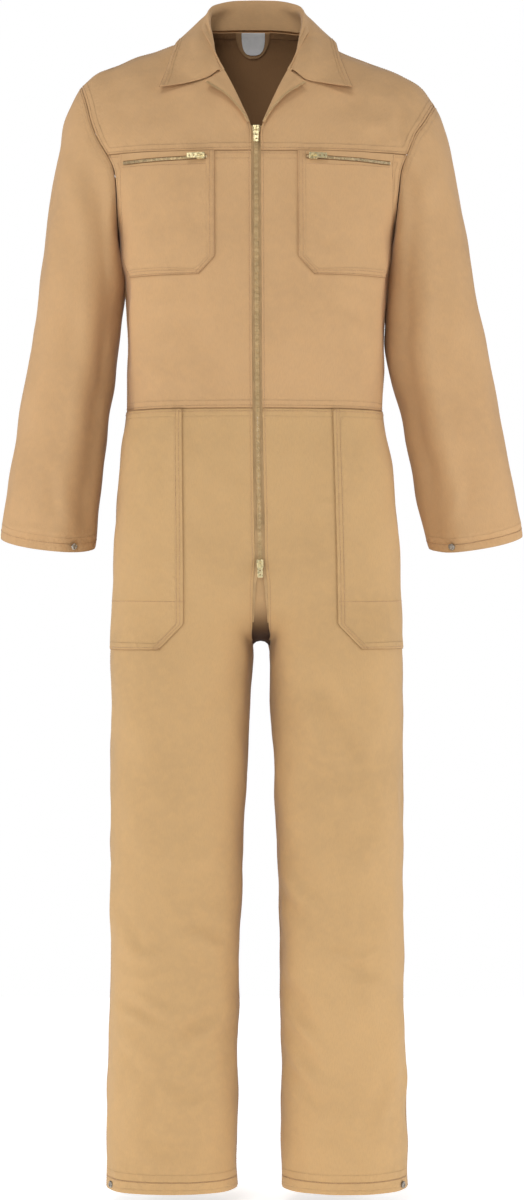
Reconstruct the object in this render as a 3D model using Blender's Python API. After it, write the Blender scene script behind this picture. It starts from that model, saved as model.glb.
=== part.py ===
"""Work boiler suit: a worn, hollow coverall with a turned-down collar and a two-way front zip.

Every piece that a maker cuts is a thin cloth wall of its own. Seams are 0.3 mm apart, and what is
sewn on a panel is made from that panel's own points, moved out. Metres, +Z up. The front faces -Y,
the wearer's right side is at -X, and the origin lies between the shoulders, where the wearer
carries the garment.
"""
import math

import bmesh
import bpy
import numpy as np
from mathutils import Matrix, Vector

NAME = "boiler_suit"

# Cloth
CLOTH = 0.0015          # wall of one layer of twill
HEM_CLOTH = 0.0030      # wall where the hem is turned up
PATCH_CLOTH = 0.0014    # wall of a patch pocket
NECK_PATCH_CLOTH = 0.0010
LABEL_CLOTH = 0.0006
SEAM_GAP = 0.0003       # space between two pieces at a seam
RIM_RELIEF = 0.0007     # how far a wall's inner edge stands back from its seam
ARMHOLE_RELIEF = 0.0015

# Levels
SHOULDER_SEAM_Y = 0.008
UNDERARM_Z = -0.265
YOKE_SEAM_Z = -0.1555
POCKET_TOP_Z = -0.171
WAIST_Z = -0.489
RISE_START_Z = -0.690
CROTCH_Z = -0.794
HEM_Z = -1.5175
HEM_DEPTH = 0.016
HEM_STEP = 0.0015       # height over which the cloth thickens at the hem
SLIDER_TOP_Z = -0.124
SLIDER_BOTTOM_Z = -0.691

# Zip
TAPE_CLOTH = 0.0010
OPEN_TAPE_CLOTH = 0.0007
TAPE_COLUMNS = (0.0006, 0.0105, 0.0150)     # from the middle out
ZIP_DEPTH = 0.0022      # from the fronts' outside back to the tape
CHAIN_WIDTH = 0.0056
CHAIN_DEPTH = 0.0026
CHEST_CHAIN = (0.0042, 0.0016)              # width, depth
OPEN_TEETH = (0.0024, 0.0016)
OPEN_TEETH_INSET = 0.0012

# Roundness of the cross-sections: 2 is an ellipse, more is squarer
TRUNK_ROUNDNESS = 2.5
LEG_ROUNDNESS = 2.2
SLEEVE_ROUNDNESS = 2.15
FRONT_SHOULDER_ROUNDNESS = 2.0
BACK_SHOULDER_ROUNDNESS = 2.4

# z, half width on the wearer's right and left, depth in front of and behind the side seams
TRUNK = (
    (-0.802, 0.1940, 0.1940, 0.104, 0.112),
    (-0.738, 0.1915, 0.1910, 0.108, 0.118),
    (-0.658, 0.1875, 0.1875, 0.110, 0.114),
    (-0.598, 0.1830, 0.1820, 0.110, 0.104),
    (-0.559, 0.1796, 0.1780, 0.109, 0.097),
    (-0.519, 0.1755, 0.1700, 0.107, 0.091),
    (-0.489, 0.1712, 0.1655, 0.106, 0.088),
    (-0.439, 0.1705, 0.1665, 0.109, 0.090),
    (-0.399, 0.1715, 0.1690, 0.113, 0.095),
    (-0.359, 0.1740, 0.1720, 0.117, 0.101),
    (-0.312, 0.1780, 0.1768, 0.120, 0.107),
    (-0.265, 0.1835, 0.1810, 0.121, 0.111),
    (-0.235, 0.1925, 0.1915, 0.121, 0.111),
    (-0.207, 0.2035, 0.2035, 0.121, 0.110),
    (-0.170, 0.2195, 0.2200, 0.120, 0.108),
    (-0.123, 0.2500, 0.2500, 0.120, 0.106),
    (-0.075, 0.2620, 0.2640, 0.120, 0.105),
    (-0.030, 0.2680, 0.2700, 0.120, 0.105),
    (0.060, 0.2750, 0.2760, 0.120, 0.105),
)

# x, z of the line over the shoulders; between the neck points it is only a guide
SHOULDERS = (
    (-0.2340, -0.0545), (-0.2140, -0.0370), (-0.1955, -0.0290), (-0.1740, -0.0200),
    (-0.1010, 0.0050), (-0.0750, 0.0220), (-0.0400, 0.0470), (0.0000, 0.0600),
    (0.0400, 0.0430), (0.0750, 0.0160), (0.1050, -0.0050), (0.1700, -0.0306),
    (0.1970, -0.0426), (0.2210, -0.0590), (0.2367, -0.0800),
)

# z, distance of the armhole seam from the middle, on each side
ARMHOLE_RIGHT = (
    (-0.265, 0.1835), (-0.2125, 0.1839), (-0.1775, 0.1866), (-0.162, 0.1924), (-0.1338, 0.2083),
    (-0.1079, 0.2183), (-0.0785, 0.2260), (-0.0545, 0.2340),
)
ARMHOLE_LEFT = (
    (-0.265, 0.1810), (-0.228, 0.1840), (-0.1784, 0.1893), (-0.1542, 0.1945), (-0.1304, 0.2062),
    (-0.1055, 0.2219), (-0.0800, 0.2367),
)

# z, distance of a front's inner edge from the middle: zip, then roll line, then neckline
FRONT_EDGE = (
    (-0.160, 0.0065), (-0.1240, 0.0065), (-0.1203, 0.0080), (-0.0687, 0.0305), (-0.0300, 0.0500),
    (-0.0050, 0.0625), (0.0220, 0.0750),
)
NECK_POINT_X = 0.075
BACK_NECK_Z = 0.029

# z, x of the middle of the garment
MIDDLE = ((-1.52, 0.0033), (-1.0, 0.0040), (-0.794, 0.0049), (-0.700, 0.0042), (-0.489, 0.0008),
          (-0.150, -0.0010), (0.060, -0.0015))

# z, outer edge, depth in front and behind, y of the middle
LEGS = (
    (-1.5175, 0.2005, 0.072, 0.080, 0.004),
    (-1.400, 0.1990, 0.075, 0.082, 0.002),
    (-1.250, 0.1955, 0.080, 0.084, 0.000),
    (-1.100, 0.1940, 0.084, 0.087, -0.003),
    (-0.950, 0.1940, 0.092, 0.097, -0.002),
    (-0.860, 0.1940, 0.099, 0.105, 0.000),
    (-0.794, 0.1938, 0.104, 0.112, 0.000),
    (-0.690, 0.1893, 0.109, 0.117, 0.000),
)

# z, half the gap between the legs
LEG_GAP = (
    (-1.520, 0.0300), (-1.350, 0.0290), (-1.137, 0.0255), (-1.031, 0.0210), (-0.924, 0.0165),
    (-0.871, 0.0135), (-0.822, 0.0102), (-0.810, 0.0078), (-0.802, 0.0045), (-0.796, 0.0012),
    (-0.790, 0.0002), (-0.600, 0.0002),
)

# one row a ring, shoulder to cuff: x and z of the outer and the inner edge
SLEEVE_RIGHT = (
    (0.2340, -0.0545, 0.1835, -0.2650), (0.2425, -0.0685, 0.1842, -0.2685),
    (0.2535, -0.0960, 0.1850, -0.2730), (0.2625, -0.1340, 0.1852, -0.2790),
    (0.2700, -0.1800, 0.1850, -0.2870), (0.2765, -0.2220, 0.1845, -0.2990),
    (0.2830, -0.2620, 0.1835, -0.3160), (0.2885, -0.3050, 0.1825, -0.3380),
    (0.2935, -0.3520, 0.1825, -0.3680), (0.2990, -0.3920, 0.1850, -0.3990),
    (0.3060, -0.4320, 0.1890, -0.4380), (0.3130, -0.4720, 0.1935, -0.4790),
    (0.3205, -0.5150, 0.1985, -0.5220), (0.3275, -0.5560, 0.2030, -0.5650),
    (0.3340, -0.5950, 0.2085, -0.6060), (0.3385, -0.6260, 0.2125, -0.6385),
    (0.3402, -0.6380, 0.2139, -0.6525), (0.3404, -0.6395, 0.2141, -0.6540),
    (0.3420, -0.6545, 0.2157, -0.6690),
)
SLEEVE_LEFT = (
    (0.2367, -0.0800, 0.1810, -0.2650), (0.2435, -0.0930, 0.1824, -0.2685),
    (0.2510, -0.1165, 0.1832, -0.2730), (0.2585, -0.1500, 0.1834, -0.2790),
    (0.2660, -0.1870, 0.1832, -0.2880), (0.2735, -0.2280, 0.1825, -0.3000),
    (0.2815, -0.2720, 0.1815, -0.3170), (0.2895, -0.3180, 0.1795, -0.3410),
    (0.2990, -0.3620, 0.1765, -0.3720), (0.3075, -0.4050, 0.1745, -0.4050),
    (0.3160, -0.4470, 0.1800, -0.4470), (0.3235, -0.4870, 0.1900, -0.4880),
    (0.3310, -0.5270, 0.1985, -0.5300), (0.3385, -0.5660, 0.2065, -0.5720),
    (0.3455, -0.6030, 0.2145, -0.6120), (0.3505, -0.6270, 0.2215, -0.6440),
    (0.3524, -0.6360, 0.2240, -0.6550), (0.3526, -0.6372, 0.2243, -0.6564),
    (0.3548, -0.6510, 0.2285, -0.6705),
)
# share of the way down the sleeve, depth in front and behind, y of the middle, drop of the front
SLEEVE_DEPTHS = (
    (0.00, 0.066, 0.074, 0.004, 0.000), (0.20, 0.072, 0.078, 0.006, 0.000),
    (0.40, 0.069, 0.072, 0.009, 0.000), (0.60, 0.061, 0.063, 0.012, 0.002),
    (0.80, 0.053, 0.053, 0.015, 0.007), (1.00, 0.046, 0.046, 0.018, 0.011),
)
SLEEVE_HEAD_RINGS = 5   # rings over which the armhole's own shape fades out

# The largest folds: start and end of the crest, half width, height
FOLDS = (
    ((0.060, -0.110, -0.900), (0.170, -0.080, -1.010), 0.030, 0.0050),
    ((0.045, -0.080, -1.040), (0.150, -0.095, -1.090), 0.026, 0.0045),
    ((0.040, -0.070, -1.200), (0.120, -0.085, -1.270), 0.028, 0.0045),
    ((0.150, -0.070, -1.260), (0.190, -0.020, -1.380), 0.026, 0.0035),
    ((-0.050, -0.080, -1.060), (-0.150, -0.090, -1.120), 0.028, 0.0040),
    ((-0.180, -0.040, -1.150), (-0.100, -0.085, -1.250), 0.030, 0.0040),
    ((-0.060, 0.100, -1.120), (-0.170, 0.070, -1.060), 0.028, 0.0050),
    ((0.060, 0.100, -1.110), (0.170, 0.070, -1.050), 0.028, 0.0050),
    ((-0.120, 0.105, -0.840), (-0.030, 0.110, -0.800), 0.026, 0.0045),
    ((0.120, 0.105, -0.840), (0.030, 0.110, -0.800), 0.026, 0.0045),
    ((-0.140, 0.070, -0.400), (0.120, 0.085, -0.440), 0.030, 0.0045),
    ((-0.300, -0.055, -0.400), (-0.215, -0.050, -0.460), 0.024, 0.0040),
    ((-0.310, 0.070, -0.430), (-0.215, 0.065, -0.390), 0.026, 0.0045),
    ((0.310, -0.050, -0.420), (0.220, -0.045, -0.480), 0.024, 0.0040),
    ((0.320, 0.070, -0.440), (0.220, 0.065, -0.400), 0.026, 0.0045),
    ((0.150, -0.080, -0.100), (0.190, -0.070, -0.150), 0.018, 0.0035),
)

# Rows of the grids
FRONT_ROWS = (-0.4845, -0.455, -0.425, -0.395, -0.366, -0.340, -0.316, -0.293)
UNDERARM_ROWS = (-0.233, -0.201)
YOKE_SHARES = (0.0, 0.19, 0.40, 0.62, 0.81, 0.945, 1.0)
YOKE_COLUMNS = (0.0, 0.06, 0.18, 0.32, 0.46, 0.60, 0.74, 0.88, 1.0)
BACK_ROWS = (-0.4845, -0.450, -0.410, -0.370, -0.330, -0.296)
BACK_STEPS = 9
BACK_SHARES = (0.0, 0.026, 0.052, 0.09, 0.13, 0.17, 0.204, 0.33, 0.46, 0.62, 0.80, 1.0)

# z, distance of a chest pocket's inner edge from the middle, with its cut corner
CHEST_POCKET_IN = ((-0.490, 0.0500), (-0.366, 0.0700), (-0.316, 0.0745), (-0.293, 0.0535),
                   (-0.150, 0.0535))
# z, how far the next column lies beyond that edge
CHEST_POCKET_BAND = ((-0.490, 0.0205), (-0.201, 0.0205), (-0.171, 0.0110), (-0.150, 0.0110))
CHEST_POCKET_OUT = ((-0.490, 0.1600), (-0.316, 0.1640), (-0.293, 0.1740), (-0.201, 0.1785),
                    (-0.150, 0.1785))
CHEST_POCKET_EDGE = 0.013
# z, distance of a hip pocket's inner edge from the middle
HIP_POCKET_IN = ((-0.802, 0.1310), (-0.770, 0.1000), (-0.489, 0.0975))
# shares of the way across the pocket, then from it to the rise
HIP_POCKET_SHARES = (0.0, 0.22, 0.48, 0.75, 1.0)
HIP_FRONT_SHARES = (0.30, 0.58, 0.82, 0.95, 1.0)
# z at the side seam, turn of the rise curve in degrees; the last row above the legs is the crotch
HIP_ROWS = (
    (-0.4935, 0), (-0.525, 0), (-0.560, 0), (-0.602, 0), (-0.646, 0), (-0.690, 0),
    (-0.713, 13), (-0.740, 30), (-0.770, 50), (-0.782, 65), (-0.792, 78), (-0.802, 90),
)
# z at the rise, distance of a front's edge from the middle: open for the zip, then sewn
FLY_EDGE = ((-0.7843, 0.00015), (-0.7697, 0.0028), (-0.7420, 0.0060), (-0.7134, 0.0065),
            (-0.4890, 0.0065))
FLY_ROWS = (-0.7134, -0.7420, -0.7697)
LEG_ROWS = (-0.812, -0.828, -0.852, -0.892, -0.937, -0.984, -1.031, -1.078, -1.125, -1.172,
            -1.219, -1.268, -1.318, -1.368, -1.418, -1.462)

TAN = (0.62, 0.42, 0.23, 1.0)
TAN_YELLOW = (0.60, 0.42, 0.22, 1.0)
TAPE_OLIVE = (0.42, 0.31, 0.17, 1.0)
BRASS = (0.80, 0.66, 0.38, 1.0)
STEEL = (0.60, 0.58, 0.55, 1.0)
LABEL_GREY = (0.78, 0.78, 0.77, 1.0)


# ---------------------------------------------------------------- curves and surfaces

def smooth(table, column, at):
    """Read a table's column at a value of its first column, on a smooth curve with no overshoot."""
    rows = sorted(table)
    keys = np.array([row[0] for row in rows])
    values = np.array([row[column] for row in rows])
    steps = np.diff(keys)
    slopes = np.diff(values) / steps
    tangents = np.zeros(len(keys))
    tangents[0] = slopes[0]
    tangents[-1] = slopes[-1]
    for i in range(1, len(keys) - 1):
        if slopes[i - 1] * slopes[i] > 0:
            ahead = 2 * steps[i] + steps[i - 1]
            behind = steps[i] + 2 * steps[i - 1]
            tangents[i] = (ahead + behind) / (ahead / slopes[i - 1] + behind / slopes[i])
    at = min(max(at, keys[0]), keys[-1])
    i = min(int(np.searchsorted(keys, at, side="right")) - 1, len(steps) - 1)
    t = (at - keys[i]) / steps[i]
    return float((2 * t ** 3 - 3 * t ** 2 + 1) * values[i]
                 + (t ** 3 - 2 * t ** 2 + t) * steps[i] * tangents[i]
                 + (3 * t ** 2 - 2 * t ** 3) * values[i + 1]
                 + (t ** 3 - t ** 2) * steps[i] * tangents[i + 1])


def linear(table, at):
    """Read a table's second column on straight lines."""
    return float(np.interp(at, [row[0] for row in table], [row[1] for row in table]))


def mix(start, end, share):
    """Go a share of the way from one value to another."""
    return start + (end - start) * share


def middle(z):
    """x of the garment's middle at a height."""
    return smooth(MIDDLE, 1, z)


def half_width(side, z):
    """Half width of the trunk on one side."""
    return smooth(TRUNK, 1 if side < 0 else 2, z)


def shoulder_z(x):
    """Height of the line over the shoulders."""
    return smooth(SHOULDERS, 1, x)


def armhole_x(side, z):
    """x of the armhole seam at a height."""
    return side * smooth(ARMHOLE_RIGHT if side < 0 else ARMHOLE_LEFT, 1, z)


def rise(x, z):
    """Share of the way from the underarm level to the shoulder line, from 0 to 1."""
    return min(max((z - UNDERARM_Z) / (shoulder_z(x) - UNDERARM_Z), 0.0), 1.0)


def trunk_y(face, x, z):
    """y of the trunk's surface; face is -1 for the front and 1 for the back."""
    side = -1 if x < 0 else 1
    across = min(abs(x) / half_width(side, z), 1.0)
    depth = smooth(TRUNK, 3 if face < 0 else 4, z)
    roundness = FRONT_SHOULDER_ROUNDNESS if face < 0 else BACK_SHOULDER_ROUNDNESS
    climb = rise(x, z)
    closing = (1 - climb ** roundness) ** (1 / roundness)
    bulge = (1 - across ** TRUNK_ROUNDNESS) ** (1 / TRUNK_ROUNDNESS)
    return SHOULDER_SEAM_Y * climb ** 2 + face * depth * bulge * closing


def trunk_top_z(x, y):
    """Height of the shoulders over a place in plan."""
    face = -1 if y < SHOULDER_SEAM_Y else 1
    low, high = UNDERARM_Z, shoulder_z(x)
    for _ in range(30):
        z = (low + high) / 2
        if face * (trunk_y(face, x, z) - y) > 0:
            low = z
        else:
            high = z
    return low


def arc_x(angle, side, z):
    """x on the trunk's cross-section; 0 is the middle and a quarter turn is the side seam."""
    return side * half_width(side, z) * math.sin(angle) ** (2 / TRUNK_ROUNDNESS)


def arc_angle(x, z):
    """The angle that arc_x turns into x."""
    side = -1 if x < 0 else 1
    return math.asin(min(abs(x) / half_width(side, z), 1.0) ** (TRUNK_ROUNDNESS / 2))


def front_edge(side, z):
    """x of a front's inner edge at a height."""
    return middle(z) + side * smooth(FRONT_EDGE, 1, z)


def neck_top(x):
    """Share of the rise at which the back panel ends: its neckline, and the shoulder seam."""
    if abs(x) >= NECK_POINT_X:
        return 1.0
    dip = 1 - (abs(x) / NECK_POINT_X) ** 2.2
    side_z = shoulder_z(math.copysign(NECK_POINT_X, x))
    return (mix(side_z, BACK_NECK_Z, dip) - UNDERARM_Z) / (shoulder_z(x) - UNDERARM_Z)


def fold_height(point):
    """How far the largest folds lift the cloth at a point."""
    lift = 0.0
    for start, end, width, height in FOLDS:
        start, end = np.array(start), np.array(end)
        along = end - start
        share = min(max(float(np.dot(point - start, along) / np.dot(along, along)), 0.0), 1.0)
        away = float(np.linalg.norm(point - start - along * share)) / width
        lift += height * (math.exp(-away ** 2) - 0.35 * math.exp(-(away - 1.7) ** 2 / 0.5))
    return lift


def folded(point, axis_x, axis_y):
    """Move a point away from the limb's axis by the folds that cross it."""
    point = np.array(point)
    outward = np.array((point[0] - axis_x, point[1] - axis_y, 0.0))
    return point + outward / np.linalg.norm(outward) * fold_height(point)


def trunk_point(face, x, z):
    """A point of the trunk's surface with its folds."""
    return folded((x, trunk_y(face, x, z), z), middle(z) + 0.5 * x, 0.0)


# ---------------------------------------------------------------- grids of the cut pieces

def armhole_levels(side):
    """Heights of the armhole's points in front, from the shoulder down to the underarm."""
    tip = (ARMHOLE_RIGHT if side < 0 else ARMHOLE_LEFT)[-1][0]
    yoke = [mix(YOKE_SEAM_Z, tip, share) for share in reversed(YOKE_SHARES)]
    return yoke + [POCKET_TOP_Z, *reversed(UNDERARM_ROWS), UNDERARM_Z]


def back_levels(side):
    """Heights of the armhole's points behind, from the underarm up to the shoulder."""
    levels = []
    for step in range(BACK_STEPS + 1):
        share = math.sin(math.radians(90 * step / BACK_STEPS))
        z = UNDERARM_Z
        for _ in range(40):
            z = mix(UNDERARM_Z, shoulder_z(armhole_x(side, z)), share)
        levels.append(z)
    return levels


def front_columns(side, z, end):
    """x of a front's columns at one height, from the zip to the side seam or armhole."""
    start = front_edge(side, z)
    width = half_width(side, z)
    pocket_in = side * linear(CHEST_POCKET_IN, z)
    band = pocket_in + side * linear(CHEST_POCKET_BAND, z)
    near = [start, start + side * 0.004, mix(start, pocket_in, 0.5), pocket_in, band]
    out = side * min(linear(CHEST_POCKET_OUT, z), 0.968 * width)
    far = side * min(abs(out) - CHEST_POCKET_EDGE, 0.915 * width)
    first, last = arc_angle(near[-1], z), arc_angle(far, z)
    between = [arc_x(mix(first, last, share), side, z) for share in (0.25, 0.5, 0.75)]
    return near + between + [far, out, end]


def front_grid(side):
    """The front below the yoke, waist to yoke seam."""
    rows = []
    levels = [WAIST_Z + SEAM_GAP / 2, *FRONT_ROWS, UNDERARM_Z, *UNDERARM_ROWS, POCKET_TOP_Z,
              YOKE_SEAM_Z - SEAM_GAP / 2]
    for z in levels:
        at_armhole = z >= UNDERARM_Z
        end = armhole_x(side, z) if at_armhole else side * half_width(side, z)
        row = [trunk_point(-1, x, z) for x in front_columns(side, z, end)]
        if z <= UNDERARM_Z:
            row[-1][1] = -SEAM_GAP / 2
        rows.append(row)
    return np.array(rows)


def yoke_share(x, z):
    """Share of the way from the yoke seam to the shoulder seam."""
    foot = rise(x, YOKE_SEAM_Z)
    return (rise(x, z) - foot) / (1 - foot)


def yoke_grid(side):
    """The front yoke, yoke seam to shoulder seam."""
    rows = []
    tip = (ARMHOLE_RIGHT if side < 0 else ARMHOLE_LEFT)[-1][0]
    for level in YOKE_SHARES:
        z_out = mix(YOKE_SEAM_Z, tip, level)
        x_out = armhole_x(side, z_out)
        share = yoke_share(x_out, z_out)
        low, high = YOKE_SEAM_Z, FRONT_EDGE[-1][0]
        for _ in range(40):
            z_in = (low + high) / 2
            if yoke_share(front_edge(side, z_in), z_in) < share:
                low = z_in
            else:
                high = z_in
        x_in = front_edge(side, z_in)
        row = []
        for column in YOKE_COLUMNS:
            x = mix(x_in, x_out, column)
            foot = rise(x, YOKE_SEAM_Z)
            z = mix(UNDERARM_Z, shoulder_z(x), mix(foot, 1.0, share))
            if level == 0.0:
                z += SEAM_GAP / 2
            point = trunk_point(-1, x, z)
            if level == 1.0:
                point[1] -= SEAM_GAP / 2
            row.append(point)
        rows.append(row)
    return np.array(rows)


def back_grid():
    """The back, waist to shoulders, right side seam to left side seam."""
    signed = [-share for share in reversed(BACK_SHARES)] + list(BACK_SHARES[1:])
    rows = []
    for z in (WAIST_Z + SEAM_GAP / 2, *BACK_ROWS):
        row = []
        for share in signed:
            side = -1 if share < 0 else 1
            x = arc_x(abs(share) * math.pi / 2, side, z)
            row.append(trunk_point(1, x, z))
        rows.append(row)
    levels = {side: back_levels(side) for side in (-1, 1)}
    for step in range(BACK_STEPS + 1):
        climb = math.sin(math.radians(90 * step / BACK_STEPS))
        row = []
        for share in signed:
            side = -1 if share < 0 else 1
            z_end = levels[side][step]
            end = arc_angle(armhole_x(side, z_end), z_end)
            x = arc_x(abs(share) * end, side, z_end)
            if abs(share) == 1.0:
                z = z_end
                x = armhole_x(side, z_end)
            else:
                z = mix(UNDERARM_Z, shoulder_z(x), neck_top(x) * climb)
            point = trunk_point(1, x, z)
            if step == BACK_STEPS:
                point[1] += SEAM_GAP / 2
            row.append(point)
        rows.append(row)
    grid = np.array(rows)
    seam_rows = len(BACK_ROWS) + 2
    grid[:seam_rows, 0, 1] = SEAM_GAP / 2
    grid[:seam_rows, -1, 1] = SEAM_GAP / 2
    return grid


def armhole_loop(side):
    """The armhole seam: from the shoulder down the front and up the back."""
    front = [trunk_point(-1, armhole_x(side, z), z) for z in armhole_levels(side)]
    front[-1][1] = 0.0
    back = [trunk_point(1, armhole_x(side, z), z) for z in back_levels(side)[1:-1]]
    return np.array(front + back)


def sleeve_ring(side, ring, angles):
    """One ring of the sleeve as a plain rounded section."""
    table = SLEEVE_RIGHT if side < 0 else SLEEVE_LEFT
    outer_x, outer_z, inner_x, inner_z = table[ring]
    share = ring / (len(table) - 1)
    front, back, y, drop = (smooth(SLEEVE_DEPTHS, column, share) for column in (1, 2, 3, 4))
    points = []
    for angle in angles:
        across = math.cos(angle)
        deep = math.sin(angle)
        along = math.copysign(abs(across) ** (2 / SLEEVE_ROUNDNESS), across)
        out = abs(deep) ** (2 / SLEEVE_ROUNDNESS)
        depth = front if deep > 0 else back
        signed = -out if deep > 0 else out
        points.append((
            side * ((outer_x + inner_x) / 2 + (outer_x - inner_x) / 2 * along),
            y + depth * signed,
            (outer_z + inner_z) / 2 + (outer_z - inner_z) / 2 * along + drop * signed,
        ))
    return np.array(points)


def sleeve_grid(side):
    """The sleeve, armhole to cuff: each row is a closed ring."""
    armhole = armhole_loop(side)
    top, bottom = armhole[0][2], UNDERARM_Z
    turning = len(armhole_levels(side)) - 1
    angles = []
    for i, point in enumerate(armhole):
        level = min(max((2 * point[2] - top - bottom) / (top - bottom), -1.0), 1.0)
        angle = math.acos(level)
        angles.append(angle if i <= turning else 2 * math.pi - angle)
    plain = sleeve_ring(side, 0, angles)
    rings = []
    for ring in range(len(SLEEVE_RIGHT)):
        points = sleeve_ring(side, ring, angles)
        fade = max(1 - ring / SLEEVE_HEAD_RINGS, 0.0)
        fade = fade * fade * (3 - 2 * fade)
        points = points + (armhole - plain) * fade
        if ring > 2:
            centre = points.mean(axis=0)
            points = np.array([folded(point, centre[0], centre[1]) for point in points])
        rings.append(points)
    start = rings[1] - armhole
    start /= np.linalg.norm(start, axis=1)[:, None]
    under = (1 - np.cos(np.array(angles))) / 2
    start[:, 0] += side * 2.0 * under
    start /= np.linalg.norm(start, axis=1)[:, None]
    rings[0] = armhole + start * SEAM_GAP
    return np.array(rings)


def leg_gap(z):
    """Half the gap between the legs."""
    return smooth(LEG_GAP, 1, z)


def leg_axis(side, z):
    """x and y of the middle of a leg."""
    outer = side * smooth(LEGS, 1, z)
    inner = middle(z) + side * leg_gap(z)
    return (outer + inner) / 2, smooth(LEGS, 4, z)


def leg_outline(side, face, share, outer, z):
    """x and y on a leg's own level section; outer is the x of its outer edge."""
    inner = middle(z) + side * leg_gap(z)
    turn = math.cos(share * math.pi)
    along = math.copysign(abs(turn) ** (2 / LEG_ROUNDNESS), turn)
    depth = smooth(LEGS, 2 if face < 0 else 3, z)
    x = (outer + inner) / 2 + (outer - inner) / 2 * along
    return x, face * depth * abs(math.sin(share * math.pi)) ** (2 / LEG_ROUNDNESS)


def hip_point(side, face, share, z_side, turn):
    """A point above the crotch; share runs from the side seam, 0, to the rise, 1."""
    z_inner = z_side
    if turn > 0:
        z_inner = RISE_START_Z - (RISE_START_Z - CROTCH_Z) * math.sin(math.radians(turn))
    closing = 1 - math.cos(math.radians(turn))
    z = mix(z_side, z_inner, share * share * (3 - 2 * share))
    centre = middle(z)
    width = half_width(side, z) if z > HIP_ROWS[-1][0] else smooth(LEGS, 1, z)
    angle = (1 - share) * math.pi / 2
    hip_x = centre + (side * width - centre) * math.sin(angle) ** (2 / TRUNK_ROUNDNESS)
    depth = smooth(TRUNK, 3 if face < 0 else 4, z)
    hip_y = face * depth * math.cos(angle) ** (2 / TRUNK_ROUNDNESS)
    leg_x, leg_y = leg_outline(side, face, share, side * width, z)
    x = mix(hip_x, leg_x, closing)
    y = mix(hip_y, leg_y, closing) + smooth(LEGS, 4, z) * closing
    axis_x, axis_y = leg_axis(side, min(z, CROTCH_Z))
    return folded((x, y, z), axis_x, axis_y)


def leg_point(side, face, share, z):
    """A point of a leg below the crotch, where each row is level."""
    x, y = leg_outline(side, face, share, side * smooth(LEGS, 1, z), z)
    axis_x, axis_y = leg_axis(side, z)
    return folded((x, y + smooth(LEGS, 4, z), z), axis_x, axis_y)


def share_at(side, face, x, z_side, turn):
    """Share of the way from the side seam at which a row of the trousers reaches an x."""
    low, high = 0.0, 0.62
    for _ in range(36):
        share = (low + high) / 2
        if abs(hip_point(side, face, share, z_side, turn)[0]) > x:
            low = share
        else:
            high = share
    return share


def leg_grid(side, face):
    """A front or back of the trousers, waist to hem, side seam to rise and inseam."""
    rows = []
    for z_side, turn in [(WAIST_Z - SEAM_GAP / 2, 0), *HIP_ROWS]:
        pocket_in = share_at(side, face, linear(HIP_POCKET_IN, z_side), z_side, turn)
        shares = [pocket_in * share for share in HIP_POCKET_SHARES]
        shares += [mix(pocket_in, 1.0, share) for share in HIP_FRONT_SHARES]
        rows.append([hip_point(side, face, share, z_side, turn) for share in shares])
    crotch_row = len(HIP_ROWS)
    for z in (*LEG_ROWS, HEM_Z + HEM_DEPTH, HEM_Z + HEM_DEPTH - HEM_STEP, HEM_Z):
        rows.append([leg_point(side, face, share, z) for share in shares])
    grid = np.array(rows)
    grid[:, 0, 1] += face * SEAM_GAP / 2
    grid[:, -1, 0] += side * SEAM_GAP / 2
    grid[crotch_row:, -1, 1] += face * SEAM_GAP / 2
    if face < 0:
        for row in grid[:crotch_row]:
            row[-1][0] = middle(row[-1][2]) + side * linear(FLY_EDGE, row[-1][2])
    return grid


# ---------------------------------------------------------------- walls from grids

def grid_normals(grid, wraps, outward):
    """Unit normals of a grid of points, on the side that outward points to."""
    if wraps:
        across = np.roll(grid, -1, axis=1) - np.roll(grid, 1, axis=1)
    else:
        across = np.gradient(grid, axis=1)
    down = np.gradient(grid, axis=0)
    normals = np.cross(across, down)
    normals /= np.linalg.norm(normals, axis=2)[:, :, None]
    if outward is None:
        guide = grid - grid.mean(axis=1, keepdims=True)
    else:
        guide = np.broadcast_to(np.array(outward, dtype=float), grid.shape)
    if (normals * guide).sum() < 0:
        normals = -normals
    return normals


def grid_cells(rows, columns, width, wraps=False):
    """The four corners of each cell; rows and columns are ranges of cells in a grid of width."""
    cells = []
    for row in rows:
        for column in columns:
            following = (column + 1) % width if wraps else column + 1
            cells.append((row * width + column, row * width + following,
                          (row + 1) * width + following, (row + 1) * width + column))
    return cells


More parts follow.
